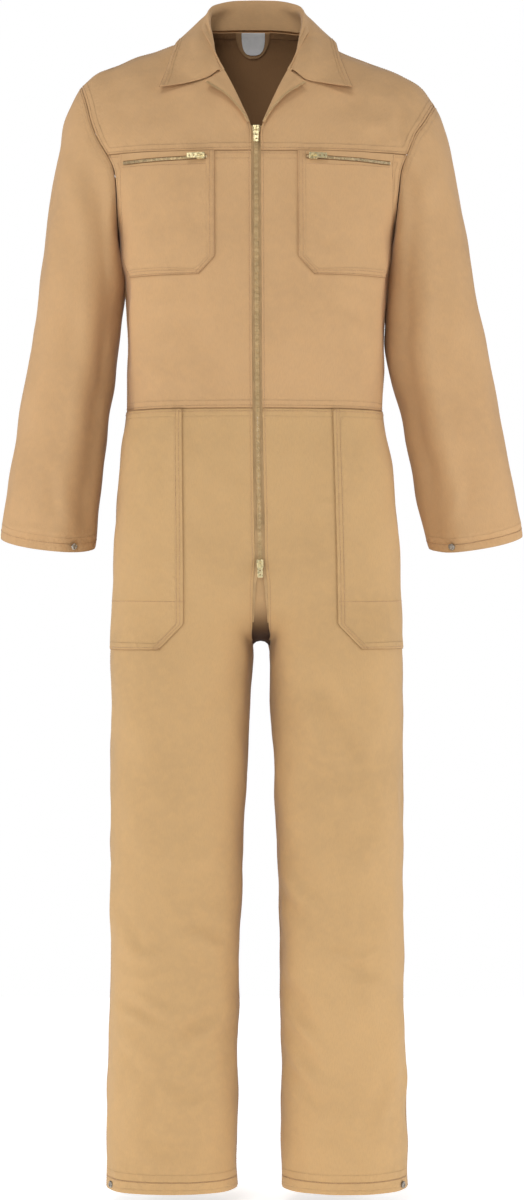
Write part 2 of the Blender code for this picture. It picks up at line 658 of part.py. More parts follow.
def wall(name, points, normals, cells, low, high, relief=RIM_RELIEF):
    """A closed wall between two offsets of a surface; relief draws its lower rim in."""
    points, normals = points.reshape(-1, 3), normals.reshape(-1, 3)
    low = np.broadcast_to(np.asarray(low, dtype=float), (len(points),))
    high = np.broadcast_to(np.asarray(high, dtype=float), (len(points),))
    triangles = []
    for cell in cells:
        triangles.append((cell[0], cell[1], cell[2]))
        if len(cell) == 4:
            triangles.append((cell[0], cell[2], cell[3]))
    first = triangles[len(triangles) // 2]
    facing = np.cross(points[first[1]] - points[first[0]], points[first[2]] - points[first[0]])
    if np.dot(facing, normals[first[0]]) < 0:
        triangles = [(a, c, b) for a, b, c in triangles]
    edges = {}
    for a, b, c in triangles:
        for edge in ((a, b), (b, c), (c, a)):
            edges[edge] = edges.get(edge, 0) + 1
    rim = [edge for edge in edges if (edge[1], edge[0]) not in edges]
    on_rim = {corner for edge in rim for corner in edge}
    neighbours = {}
    for a, b, c in triangles:
        for start, end in ((a, b), (b, c), (c, a)):
            neighbours.setdefault(start, set()).add(end)
            neighbours.setdefault(end, set()).add(start)
    mesh = bmesh.new()
    upper, lower = {}, {}
    for corner in sorted(neighbours):
        upper[corner] = mesh.verts.new(points[corner] + normals[corner] * high[corner])
        base = points[corner] + normals[corner] * low[corner]
        if corner in on_rim and relief > 0:
            inside = [n for n in neighbours[corner] if n not in on_rim] or neighbours[corner]
            away = points[sorted(inside)].mean(axis=0) - points[corner]
            length = np.linalg.norm(away)
            base = base + away / length * min(relief, 0.4 * length)
        lower[corner] = mesh.verts.new(base)
    for a, b, c in triangles:
        mesh.faces.new((upper[a], upper[b], upper[c]))
        mesh.faces.new((lower[a], lower[c], lower[b]))
    for a, b in rim:
        mesh.faces.new((upper[b], upper[a], lower[a]))
        mesh.faces.new((upper[b], lower[a], lower[b]))
    return finish_mesh(name, mesh)


def finish_mesh(name, mesh):
    """Turn a bmesh into an object of the garment."""
    bmesh.ops.recalc_face_normals(mesh, faces=mesh.faces[:])
    data = bpy.data.meshes.new(name)
    mesh.to_mesh(data)
    mesh.free()
    data.shade_smooth()
    data.set_sharp_from_angle(angle=math.radians(40))
    piece = bpy.data.objects.new(name, data)
    bpy.data.collections[NAME].objects.link(piece)
    return piece


def bar(name, path, across, outward, section):
    """A bar along a path of points; section is its width and its depth."""
    width, depth = section
    mesh = bmesh.new()
    rings = []
    for i, point in enumerate(path):
        wide = np.array(across[i]) / np.linalg.norm(across[i]) * width / 2
        deep = np.array(outward[i]) / np.linalg.norm(outward[i])
        corners = (point - wide, point + wide, point + wide + deep * depth,
                   point - wide + deep * depth)
        rings.append([mesh.verts.new(corner) for corner in corners])
    for start, end in zip(rings, rings[1:]):
        for i in range(4):
            j = (i + 1) % 4
            mesh.faces.new((start[i], start[j], end[j], end[i]))
    mesh.faces.new(rings[0])
    mesh.faces.new(rings[-1][::-1])
    return finish_mesh(name, mesh)


def material(name, colour, roughness, metallic=0.0):
    """A plain finish."""
    finish = bpy.data.materials.new(name)
    finish.use_nodes = True
    shader = finish.node_tree.nodes["Principled BSDF"]
    shader.inputs["Base Color"].default_value = colour
    shader.inputs["Roughness"].default_value = roughness
    shader.inputs["Metallic"].default_value = metallic
    finish.diffuse_color = colour
    return finish


# ---------------------------------------------------------------- cloth pieces

def side_name(side):
    """The wearer's side."""
    return "right" if side < 0 else "left"


def full_wall(name, grid, outward, wraps=False, thickness=CLOTH, relief=RIM_RELIEF):
    """A wall over a whole grid, with its outside on the grid's points."""
    normals = grid_normals(grid, wraps, outward)
    rows, columns = grid.shape[:2]
    cells = grid_cells(range(rows - 1), range(columns if wraps else columns - 1), columns, wraps)
    return wall(name, grid, normals, cells, -np.asarray(thickness, dtype=float), 0.0, relief)


def bodice():
    """Fronts, yokes and back above the waist seam."""
    pieces = []
    for side in (-1, 1):
        name = side_name(side)
        pieces.append(full_wall(f"front_{name}", front_grid(side), (side * 0.3, -1, 0)))
        pieces.append(full_wall(f"front_yoke_{name}", yoke_grid(side), (side * 0.3, -1, 0.3)))
    pieces.append(full_wall("back", back_grid(), (0, 1, 0)))
    return pieces


def hem_walls(grid, rows_of_hem):
    """Wall thickness at each point of a grid whose last rows are a turned-up hem."""
    thickness = np.full(grid.shape[:2], CLOTH)
    thickness[-rows_of_hem:, :] = HEM_CLOTH
    return thickness.reshape(-1)


def trousers():
    """Fronts and backs of both legs."""
    pieces = []
    for side in (-1, 1):
        for face, word in ((-1, "front"), (1, "back")):
            grid = leg_grid(side, face)
            name = f"leg_{word}_{side_name(side)}"
            pieces.append(full_wall(name, grid, (0, face, 0), thickness=hem_walls(grid, 2)))
    return pieces


def sleeve_half(grid, side, face):
    """The front or back half of a sleeve's rings, parted at the shoulder and the underarm."""
    turning = len(armhole_levels(side)) - 1
    if face < 0:
        half = grid[:, :turning + 1].copy()
    else:
        half = np.concatenate((grid[:, turning:], grid[:, :1]), axis=1)
    for edge, inside in ((0, 1), (-1, -2)):
        away = half[:, inside] - half[:, edge]
        half[:, edge] += away / np.linalg.norm(away, axis=1)[:, None] * SEAM_GAP
        half[:, edge, 1] += face * SEAM_GAP / 2
    return half


def sleeves():
    """Both sleeves from armhole to cuff, each a front and a back half."""
    pieces = []
    for side in (-1, 1):
        grid = sleeve_grid(side)
        for face, word in ((-1, "front"), (1, "back")):
            half = sleeve_half(grid, side, face)
            name = f"sleeve_{word}_{side_name(side)}"
            pieces.append(full_wall(name, half, (0, face, 0), thickness=hem_walls(half, 2),
                                    relief=ARMHOLE_RELIEF))
    return pieces


def patch(name, grid, outward, cells, thickness=PATCH_CLOTH):
    """A patch over some cells of a panel's grid, just clear of the panel."""
    normals = grid_normals(grid, False, outward)
    return wall(name, grid, normals, cells, SEAM_GAP, SEAM_GAP + thickness, relief=0.0)


def chest_pocket(side):
    """A chest pocket with bands beside its zip, the zip's tape and its chain."""
    grid = front_grid(side)
    outward = (side * 0.3, -1, 0)
    name = side_name(side)
    width = grid.shape[1]
    foot, top = 7, 12
    inner, band, far, out = 3, 4, 8, 9
    cells = grid_cells(range(foot, top), range(inner, out), width)
    cells += grid_cells((top,), (inner, far), width)
    pocket = patch(f"chest_pocket_{name}", grid, outward, cells)
    window = grid.copy()
    window[top, band:far + 1] = mix(grid[top, band:far + 1], grid[top + 1, band:far + 1], 0.03)
    window[top:, band] = mix(grid[top:, band], grid[top:, band + 1], 0.02)
    window[top:, far] = mix(grid[top:, far], grid[top:, far - 1], 0.02)
    normals = grid_normals(grid, False, outward)
    tape = wall(f"chest_zip_tape_{name}", window, normals,
                grid_cells((top,), range(band, far), width), SEAM_GAP, SEAM_GAP + TAPE_CLOTH, 0.0)
    path = (window[top, band:far + 1] + window[top + 1, band:far + 1]) / 2
    out_of = (normals[top, band:far + 1] + normals[top + 1, band:far + 1]) / 2
    up = window[top + 1, band:far + 1] - window[top, band:far + 1]
    base = path + out_of * (TAPE_CLOTH + 3 * SEAM_GAP)
    return pocket, tape, bar(f"chest_zip_chain_{name}", base, up, out_of, CHEST_CHAIN)


def hip_pocket(side):
    """A long patch pocket from the waist seam to the thigh, out to the side seam."""
    grid = leg_grid(side, -1)
    cells = grid_cells(range(len(HIP_ROWS)), range(len(HIP_POCKET_SHARES) - 1), grid.shape[1])
    return patch(f"hip_pocket_{side_name(side)}", grid, (0, -1, 0), cells)


# ---------------------------------------------------------------- collar and turned-back fronts

# share from the centre back to the front end: x, y and z of the roll line, then of the outer edge
COLLAR = (
    (0.00, 0.0000, 0.0680, 0.0705, 0.0000, 0.1020, -0.0100),
    (0.15, 0.0240, 0.0630, 0.0690, 0.0460, 0.0960, -0.0095),
    (0.30, 0.0450, 0.0440, 0.0620, 0.0850, 0.0700, -0.0040),
    (0.45, 0.0590, 0.0150, 0.0500, 0.1040, 0.0250, 0.0070),
    (0.58, 0.0610, -0.0080, 0.0340, 0.1060, -0.0080, 0.0020),
    (0.72, 0.0580, -0.0330, 0.0120, 0.1100, -0.0360, -0.0180),
    (0.86, 0.0540, -0.0590, -0.0120, 0.1180, -0.0600, -0.0440),
    (1.00, 0.0505, -0.0760, -0.0290, 0.1262, -0.0800, -0.0680),
)
COLLAR_NECK_SHARE = 0.45
COLLAR_SECTIONS = 13
COLLAR_CLEARANCE = 0.0052
COLLAR_LIFT = 0.0020         # from the neck seam up to the collar's foot
COLLAR_END_Z = -0.030        # where the collar ends on the neckline
COLLAR_RADII = (0.0032, 0.0018)     # of the roll, at the centre back and at the front end
COLLAR_BEND_SHARE = 0.72     # from here on the fall bends towards the notch
NOTCH = (0.0672, -0.0610)


def neck_seam(side, share):
    """A point of the neckline, from the centre back, 0, to the front end of the collar, 1."""
    neck_z = shoulder_z(side * NECK_POINT_X)
    if share <= COLLAR_NECK_SHARE:
        turn = math.sin(share / COLLAR_NECK_SHARE * math.pi / 2)
        x = side * NECK_POINT_X * turn
        z = mix(UNDERARM_Z, shoulder_z(x), min(neck_top(x), 1.0))
        return np.array((x, trunk_y(1, x, z), z))
    drop = math.cos((share - COLLAR_NECK_SHARE) / (1 - COLLAR_NECK_SHARE) * math.pi / 2)
    z = mix(COLLAR_END_Z, neck_z, drop)
    x = front_edge(side, z)
    return np.array((x, trunk_y(-1, x, z), z))


def clear_of_trunk(point):
    """Move a point of the collar's fall out of the trunk, the shortest way."""
    x, y, z = point
    if z > shoulder_z(x) + COLLAR_CLEARANCE:
        return np.array(point)
    face = -1 if y < SHOULDER_SEAM_Y else 1
    limit_y = trunk_y(face, x, z) + face * COLLAR_CLEARANCE
    limit_z = trunk_top_z(x, y) + COLLAR_CLEARANCE
    if face * (y - limit_y) >= 0 or z >= limit_z:
        return np.array(point)
    if limit_z - z < abs(limit_y - y):
        return np.array((x, y, limit_z))
    return np.array((x, limit_y, z))


def collar_section(side, share):
    """One section of the collar: stand, roll and fall."""
    roll = np.array([smooth(COLLAR, column, share) for column in (1, 2, 3)])
    edge = np.array([smooth(COLLAR, column, share) for column in (4, 5, 6)])
    roll[0] = middle(0.0) + side * roll[0]
    edge[0] = middle(0.0) + side * edge[0]
    base = neck_seam(side, share)
    base[2] += COLLAR_LIFT
    fall = edge - roll
    away = np.array((fall[0], fall[1], 0.0))
    away /= np.linalg.norm(away)
    radius = mix(*COLLAR_RADII, share)
    inner = roll.copy()
    inner[2] -= min(0.006, max(roll[2] - base[2], 0.003) * 0.5)
    crest = roll + away * radius
    crest[2] = roll[2] + radius * 0.5
    outer = roll + away * 2 * radius
    outer[2] = inner[2] + radius
    bend = max(0.0, (share - COLLAR_BEND_SHARE) / (1 - COLLAR_BEND_SHARE)) ** 2
    section = [base, (base + roll) / 2, inner, crest, outer]
    notch = np.array((middle(0.0) + side * NOTCH[0], 0.0, NOTCH[1]))
    cornered = (mix(outer, notch, 0.5), notch, mix(notch, edge, 0.5))
    for share_down, corner in zip((0.28, 0.52, 0.76), cornered):
        point = mix(outer, edge, share_down)
        point[0] = mix(point[0], corner[0], bend)
        point[2] = mix(point[2], corner[2], bend)
        section.append(clear_of_trunk(point))
    section.append(clear_of_trunk(edge))
    return section


def collar():
    """The collar, from its right front end round the back of the neck to its left one."""
    shares = [i / COLLAR_SECTIONS for i in range(COLLAR_SECTIONS + 1)]
    grid = [collar_section(-1, share) for share in reversed(shares)]
    grid += [collar_section(1, share) for share in shares[1:]]
    grid = np.array(grid)
    normals = grid_normals(grid, False, None)
    cells = grid_cells(range(grid.shape[0] - 1), range(grid.shape[1] - 1), grid.shape[1])
    return wall("collar", grid, normals, cells, -CLOTH / 2, CLOTH / 2, relief=0.0)


# z on the roll line, distance from the middle and z of the outer edge, lift of the outer edge
TURN_BACK = (
    (-0.0340, 0.0650, -0.0655, 0.0085), (-0.0500, 0.0540, -0.0730, 0.0085),
    (-0.0687, 0.0430, -0.0800, 0.0080), (-0.0850, 0.0325, -0.0900, 0.0070),
    (-0.1000, 0.0230, -0.1010, 0.0055), (-0.1110, 0.0160, -0.1115, 0.0040),
    (-0.1180, 0.0120, -0.1195, 0.0030),
)
TURN_BACK_COLUMNS = (0.0, 0.3, 0.55, 0.8, 1.0)
ROLL_LIFT = 0.0005


def turn_back_grid(side):
    """The front's facing, turned back from the roll line above the zip's slider."""
    rows = []
    for roll_z, outer_x, outer_z, lift in TURN_BACK:
        roll_x = front_edge(side, roll_z)
        end_x = middle(outer_z) + side * outer_x
        row = []
        for share in TURN_BACK_COLUMNS:
            x = mix(roll_x, end_x, share)
            z = mix(roll_z, outer_z, share)
            y = trunk_y(-1, x, z) - mix(ROLL_LIFT, lift, math.sin(share * math.pi / 2))
            row.append((x, y, z))
        rows.append(row)
    return np.array(rows)


def turn_back(side):
    """A turned-back facing with the zip's open tape and teeth along its edge."""
    name = side_name(side)
    grid = turn_back_grid(side)
    normals = grid_normals(grid, False, (0, -1, 0))
    rows, columns = range(grid.shape[0] - 1), grid.shape[1] - 1
    facing = wall(f"facing_{name}", grid, normals,
                  grid_cells(rows, range(columns), columns + 1), 0.0, CLOTH, 0.0)
    low = CLOTH + SEAM_GAP
    tape = wall(f"zip_tape_top_{name}", grid, normals,
                grid_cells(rows, range(2, columns), columns + 1), low, low + OPEN_TAPE_CLOTH, 0.0)
    edge = grid[:, -1]
    across = np.cross(np.gradient(edge, axis=0), normals[:, -1])
    across /= np.linalg.norm(across, axis=1)[:, None]
    across *= np.sign((across * (grid[:, 0] - edge)).sum(axis=1))[:, None]
    path = edge + normals[:, -1] * (low + OPEN_TAPE_CLOTH + SEAM_GAP) + across * OPEN_TEETH_INSET
    return facing, tape, bar(f"zip_teeth_top_{name}", path, across, normals[:, -1], OPEN_TEETH)


# ---------------------------------------------------------------- front zip

def zip_levels():
    """Heights of the zip's rows: the same rows as the fronts and trousers have."""
    levels = [SLIDER_TOP_Z + 0.002, YOKE_SEAM_Z, POCKET_TOP_Z, *reversed(UNDERARM_ROWS),
              UNDERARM_Z, *reversed(FRONT_ROWS), WAIST_Z]
    levels += [row[0] for row in HIP_ROWS if row[0] >= RISE_START_Z]
    return levels


def zip_point(offset, z):
    """A point of the fronts' surface near the zip."""
    x = middle(z) + offset
    point = trunk_point(-1, x, z)
    if z < RISE_START_Z:
        turn = math.asin(min((RISE_START_Z - z) / (RISE_START_Z - CROTCH_Z), 1.0))
        point[1] *= math.cos(turn)
    return point


def front_zip():
    """The tapes and the closed chain between the two sliders."""
    pieces = []
    for side in (-1, 1):
        grid = np.array([[zip_point(side * offset, z) for offset in TAPE_COLUMNS]
                         for z in (*zip_levels(), *FLY_ROWS)])
        normals = grid_normals(grid, False, (0, -1, 0))
        cells = grid_cells(range(len(grid) - 1), range(2), 3)
        pieces.append(wall(f"zip_tape_{side_name(side)}", grid, normals, cells,
                           -ZIP_DEPTH - TAPE_CLOTH, -ZIP_DEPTH, 0.0))
    path = np.array([zip_point(0.0, z) for z in (*zip_levels(), SLIDER_BOTTOM_Z - 0.004)])
    path[:, 1] += ZIP_DEPTH - SEAM_GAP
    count = len(path)
    pieces.append(bar("zip_chain", path, [(1, 0, 0)] * count, [(0, -1, 0)] * count,
                      (CHAIN_WIDTH, CHAIN_DEPTH)))
    return pieces


# Slider and pull tab, in a frame with u along the pull, v across it and w out of the cloth
SLIDER_LENGTH = 0.0108
SLIDER_WIDTH = 0.0092
SLIDER_HEIGHT = 0.0030
BAIL_RADIUS = 0.0025
BAIL_WIRE = 0.0007
HINGE_RISE = 0.0012
PULL_LENGTH = 0.0180
PULL_WIDTH = 0.0070
PULL_THICKNESS = 0.0011
PULL_EYE = (0.0009, 0.0042, 0.0040)     # start, end and width of the slot for the bail
PULL_HOLES = (0.0088, 0.0143)
PULL_HOLE_RADIUS = 0.0011
CHEST_SLIDER_ALONG = 0.0075     # from the inner end of a chest zip's window


def box_mesh(low, high, bevel=0.0, segments=2):
    """A bmesh box between two corners, with rounded edges."""
    mesh = bmesh.new()
    bmesh.ops.create_cube(mesh, size=1.0)
    size = Vector(high) - Vector(low)
    bmesh.ops.scale(mesh, vec=size, verts=mesh.verts[:])
    bmesh.ops.translate(mesh, vec=(Vector(low) + Vector(high)) / 2, verts=mesh.verts[:])
    if bevel > 0:
        bmesh.ops.bevel(mesh, geom=mesh.edges[:], offset=bevel, segments=segments, profile=0.5,
                        affect="EDGES")
    return mesh


def temporary(name, mesh):
    """An object that only helps to shape another."""
    data = bpy.data.meshes.new(name)
    mesh.to_mesh(data)
    mesh.free()
    helper = bpy.data.objects.new(name, data)
    bpy.data.collections[f"{NAME}_cutters"].objects.link(helper)
    helper.display_type = "WIRE"
    helper.hide_render = True
    return helper


def boolean_mesh(name, base, steps):
    """Apply Boolean steps to a helper object and return the resulting mesh."""
    for operation, other in steps:
        step = base.modifiers.new("step", "BOOLEAN")
        step.operation = operation
        step.object = other
    graph = bpy.context.evaluated_depsgraph_get()
    data = bpy.data.meshes.new_from_object(base.evaluated_get(graph))
    data.name = name
    for helper in [base, *[other for _, other in steps]]:
        bpy.data.objects.remove(helper)
    data.shade_smooth()
    data.set_sharp_from_angle(angle=math.radians(35))
    return data


def slider_mesh():
    """A slider's body with the wire bail that its pull hangs on."""
    body = temporary("slider_body", box_mesh(
        (-SLIDER_LENGTH / 2, -SLIDER_WIDTH / 2, SEAM_GAP),
        (SLIDER_LENGTH / 2, SLIDER_WIDTH / 2, SEAM_GAP + SLIDER_HEIGHT), 0.0011))
    mesh = bmesh.new()
    hinge = SEAM_GAP + SLIDER_HEIGHT + HINGE_RISE
    route = [(BAIL_RADIUS, hinge - 0.0022)]
    for step in range(9):
        angle = math.pi * step / 8
        route.append((BAIL_RADIUS * math.cos(angle), hinge + BAIL_RADIUS * math.sin(angle)))
    route.append((-BAIL_RADIUS, hinge - 0.0022))
    rings = []
    for i, (u, w) in enumerate(route):
        angle = math.pi * min(max((i - 1) / 8, 0.0), 1.0)
        ring = []
        for step in range(8):
            turn = 2 * math.pi * step / 8
            out = BAIL_WIRE * math.cos(turn)
            ring.append(mesh.verts.new((u + out * math.cos(angle), BAIL_WIRE * math.sin(turn),
                                        w + out * math.sin(angle))))
        rings.append(ring)
    for start, end in zip(rings, rings[1:]):
        for i in range(8):
            j = (i + 1) % 8
            mesh.faces.new((start[i], start[j], end[j], end[i]))
    mesh.faces.new(rings[0][::-1])
    mesh.faces.new(rings[-1])
    bmesh.ops.recalc_face_normals(mesh, faces=mesh.faces[:])
    bail = temporary("slider_bail", mesh)
    return boolean_mesh("slider", body, [("UNION", bail)])


def pull_mesh():
    """A pull tab with a slot for the bail and two round holes; its origin is on the hinge."""
    half = PULL_THICKNESS / 2
    plate = temporary("pull_plate", box_mesh((-0.0007, -PULL_WIDTH / 2, -half),
                                             (PULL_LENGTH, PULL_WIDTH / 2, half), 0.0004, 2))
    slot = temporary("pull_slot", box_mesh((PULL_EYE[0], -PULL_EYE[2] / 2, -0.01),
                                           (PULL_EYE[1], PULL_EYE[2] / 2, 0.01)))
    steps = [("DIFFERENCE", slot)]
    for place in PULL_HOLES:
        mesh = bmesh.new()
        bmesh.ops.create_cone(mesh, cap_ends=True, segments=14, radius1=PULL_HOLE_RADIUS,
                              radius2=PULL_HOLE_RADIUS, depth=0.02)
        bmesh.ops.translate(mesh, vec=(place, 0, 0), verts=mesh.verts[:])
        steps.append(("DIFFERENCE", temporary("pull_hole", mesh)))
    return boolean_mesh("pull", plate, steps)


def front_slider_place(z):
    """Centre, pull direction and outward direction of a slider on the front's chain."""
    above, below = zip_point(0.0, z + 0.007), zip_point(0.0, z - 0.007)
    along = below - above
    along /= np.linalg.norm(along)
    outward = np.cross(along, (1.0, 0.0, 0.0))
    if outward[1] > 0:
        outward = -outward
    outward /= np.linalg.norm(outward)
    centre = (above + below) / 2
    centre[1] += CLOTH - CHAIN_DEPTH
    return centre, along, outward


def chest_slider_place(side):
    """Centre, pull direction and outward direction of a chest zip's slider."""
    grid = front_grid(side)
    normals = grid_normals(grid, False, (side * 0.3, -1, 0))
    start = (grid[12, 4] + grid[13, 4]) / 2
    end = (grid[12, 5] + grid[13, 5]) / 2
    outward = normals[12, 4] + normals[13, 4] + normals[12, 5] + normals[13, 5]
    outward /= np.linalg.norm(outward)
    along = end - start
    along -= outward * np.dot(along, outward)
    along /= np.linalg.norm(along)
    lift = TAPE_CLOTH + 3 * SEAM_GAP + CHEST_CHAIN[1]
    return start + along * CHEST_SLIDER_ALONG + outward * lift, along, outward


def zip_hardware():
    """Sliders, which are fixed, and their pull tabs, each turning on its own bail."""
    places = {
        "zip_top": front_slider_place(SLIDER_TOP_Z - 0.004),
        "zip_bottom": front_slider_place(SLIDER_BOTTOM_Z),
        "chest_zip_right": chest_slider_place(-1),
        "chest_zip_left": chest_slider_place(1),
    }
    slider_data, pull_data = slider_mesh(), pull_mesh()
    pieces = []
    for name, (centre, along, outward) in places.items():
        across = np.cross(outward, along)
        frame = Matrix(np.array((along, across, outward)).T.tolist()).to_4x4()
        slider = bpy.data.objects.new(f"{name}_slider", slider_data.copy())
        slider.matrix_world = Matrix.Translation(centre) @ frame
        hinge = centre + outward * (SEAM_GAP + SLIDER_HEIGHT + HINGE_RISE)
        pull = bpy.data.objects.new(f"{name}_pull", pull_data.copy())
        pull.matrix_world = Matrix.Translation(hinge) @ frame
        for piece in (slider, pull):
            bpy.data.collections[NAME].objects.link(piece)
            pieces.append(piece)
    return pieces


# ---------------------------------------------------------------- small pieces

SNAP_RADIUS = 0.0047
SNAP_HEIGHT = 0.0022


def snap(name, point, outward):
    """A round press stud with a dished face."""
    mesh = bmesh.new()
    profile = ((0.42, 0.55), (0.58, 1.0), (0.86, 0.92), (1.0, 0.45), (0.96, 0.0))
    steps = 16
    rings = []
    for share, height in profile:
        rings.append([mesh.verts.new((SNAP_RADIUS * share * math.cos(2 * math.pi * i / steps),
                                      SNAP_RADIUS * share * math.sin(2 * math.pi * i / steps),
                                      SNAP_HEIGHT * height)) for i in range(steps)])
    for start, end in zip(rings, rings[1:]):
        for i in range(steps):
            j = (i + 1) % steps
            mesh.faces.new((start[i], start[j], end[j], end[i]))
    mesh.faces.new(rings[0])
    mesh.faces.new(rings[-1][::-1])
    turn = Vector(outward).to_track_quat("Z", "Y").to_matrix().to_4x4()
    mesh.transform(Matrix.Translation(Vector(point) + Vector(outward) * SEAM_GAP) @ turn)
    return finish_mesh(name, mesh)


def hem_place(grid, normals, columns, lift):
    """A place in the middle of a hem, between some of its columns, and its outward direction."""
    point = grid[-2:, columns].reshape(-1, 3).mean(axis=0)
    outward = normals[-2:, columns].reshape(-1, 3).mean(axis=0)
    outward /= np.linalg.norm(outward)
    return point + outward * lift, outward


def snaps():
    """One press stud at the hem of each cuff and leg."""
    pieces = []
    for side in (-1, 1):
        name = side_name(side)
        grid = leg_grid(side, -1)
        normals = grid_normals(grid, False, (0, -1, 0))
        pieces.append(snap(f"snap_leg_{name}", *hem_place(grid, normals, slice(1, 3), 0.0004)))
        grid = sleeve_grid(side)
        normals = grid_normals(grid, True, None)
        turning = len(armhole_levels(side)) - 1
        columns = slice(turning - 2, turning)
        pieces.append(snap(f"snap_cuff_{name}", *hem_place(grid, normals, columns, 0.0006)))
    return pieces


def neck_pieces():
    """The half-moon patch inside the back of the neck, and the bare label on it."""
    grid = back_grid()
    normals = grid_normals(grid, False, (0, 1, 0))
    width = grid.shape[1]
    centre = width // 2
    top = grid.shape[0] - 1
    low = CLOTH + SEAM_GAP
    cells = grid_cells((top - 1, top - 2), range(centre - 2, centre + 2), width)
    cells += grid_cells((top - 3,), range(centre - 1, centre + 1), width)
    lower, upper = (top - 3) * width, (top - 2) * width
    cells.append((upper + centre - 2, lower + centre - 1, upper + centre - 1))
    cells.append((upper + centre + 1, lower + centre + 1, upper + centre + 2))
    piece = wall("neck_patch", grid, normals, cells, -low - NECK_PATCH_CLOTH, -low, 0.0)
    cells = grid_cells((top - 1, top - 2), range(centre - 1, centre + 1), width)
    low += NECK_PATCH_CLOTH + SEAM_GAP
    return piece, wall("neck_label", grid, normals, cells, -low - LABEL_CLOTH, -low, 0.0)


def main():
    """Build the garment in an empty scene."""
    for piece in list(bpy.data.objects):
        bpy.data.objects.remove(piece)
    for title in (NAME, f"{NAME}_cutters"):
        bpy.context.scene.collection.children.link(bpy.data.collections.new(title))
    groups = {
        "twill": bodice() + sleeves() + [collar()],
        "twill_trousers": trousers(),
        "zip_tape": [],
        "brass": [],
        "steel": snaps(),
        "label": [],
    }
    for side in (-1, 1):
        pocket, tape, chain = chest_pocket(side)
        facing, open_tape, teeth = turn_back(side)
        groups["twill"] += [pocket, facing]
        groups["twill_trousers"].append(hip_pocket(side))
        groups["zip_tape"] += [tape, open_tape]
        groups["brass"] += [chain, teeth]
    right_tape, left_tape, chain = front_zip()
    groups["zip_tape"] += [right_tape, left_tape]
    groups["brass"] += [chain, *zip_hardware()]
    patch_piece, label = neck_pieces()
    groups["twill"].append(patch_piece)
    groups["label"].append(label)
    finishes = {
        "twill": (TAN, 0.85, 0.0),
        "twill_trousers": (TAN_YELLOW, 0.85, 0.0),
        "zip_tape": (TAPE_OLIVE, 0.8, 0.0),
        "brass": (BRASS, 0.35, 1.0),
        "steel": (STEEL, 0.35, 1.0),
        "label": (LABEL_GREY, 0.7, 0.0),
    }
    for title, pieces in groups.items():
        colour, roughness, metallic = finishes[title]
        for piece in pieces:
            piece.data.materials.clear()
            piece.data.materials.append(material(piece.name, colour, roughness, metallic))


if __name__ == "__main__":
    main()
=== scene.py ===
"""Boiler suit: the cloth, sewing and metal of a worn, hollow work coverall.

Each cut piece of cloth is a thin shell on the form of its own solid, refined from the same few
sections, with its creases laid on one by one. Metres, +Z up. The front faces -Y and the wearer's
right side is at -X.
"""
import logging
import math
from abc import ABC, abstractmethod
from dataclasses import dataclass, field
from enum import Enum, IntEnum
from typing import Callable, Sequence

import bpy
import numpy as np
from mathutils import Matrix, Vector


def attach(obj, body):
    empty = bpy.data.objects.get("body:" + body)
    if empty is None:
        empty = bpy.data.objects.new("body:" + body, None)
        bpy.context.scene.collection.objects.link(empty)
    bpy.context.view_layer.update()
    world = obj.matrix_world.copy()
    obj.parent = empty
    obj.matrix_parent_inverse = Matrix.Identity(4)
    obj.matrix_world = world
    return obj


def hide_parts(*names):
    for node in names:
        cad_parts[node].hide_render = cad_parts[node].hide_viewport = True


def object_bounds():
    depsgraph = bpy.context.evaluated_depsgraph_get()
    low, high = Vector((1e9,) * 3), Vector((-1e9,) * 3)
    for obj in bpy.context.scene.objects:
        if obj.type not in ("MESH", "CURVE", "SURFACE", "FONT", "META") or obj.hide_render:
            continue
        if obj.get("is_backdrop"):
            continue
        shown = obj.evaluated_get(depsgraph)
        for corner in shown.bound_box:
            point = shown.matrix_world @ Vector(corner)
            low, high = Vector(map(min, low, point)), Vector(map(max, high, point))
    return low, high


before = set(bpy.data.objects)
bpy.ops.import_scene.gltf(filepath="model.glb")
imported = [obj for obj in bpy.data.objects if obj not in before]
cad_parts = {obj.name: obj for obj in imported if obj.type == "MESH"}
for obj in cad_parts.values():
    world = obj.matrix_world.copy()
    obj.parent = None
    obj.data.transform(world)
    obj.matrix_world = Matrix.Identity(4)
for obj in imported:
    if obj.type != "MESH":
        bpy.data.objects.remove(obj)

logging.basicConfig(level=logging.INFO, format="%(name)s: %(message)s")
LOG = logging.getLogger("boiler_suit")

BODY = "suit"
SEAM_GAP = 0.0003
Table = tuple[tuple[float, ...], ...]
Value = float | np.ndarray


class Side(IntEnum):
    """The wearer's side, as the sign of x."""

    RIGHT = -1
    LEFT = 1

    @property
    def word(self) -> str:
        """The side's name in a piece's name."""
        return self.name.lower()


class Face(IntEnum):
    """Front or back, as the sign of y."""

    FRONT = -1
    BACK = 1


# -------------------- curves

def cubic(t: Value) -> tuple[Value, Value, Value, Value]:
    """Weights of a cubic's two ends, and of the slopes at its two ends."""
    return (2 * t ** 3 - 3 * t ** 2 + 1, 3 * t ** 2 - 2 * t ** 3,
            t ** 3 - 2 * t ** 2 + t, t ** 3 - t ** 2)


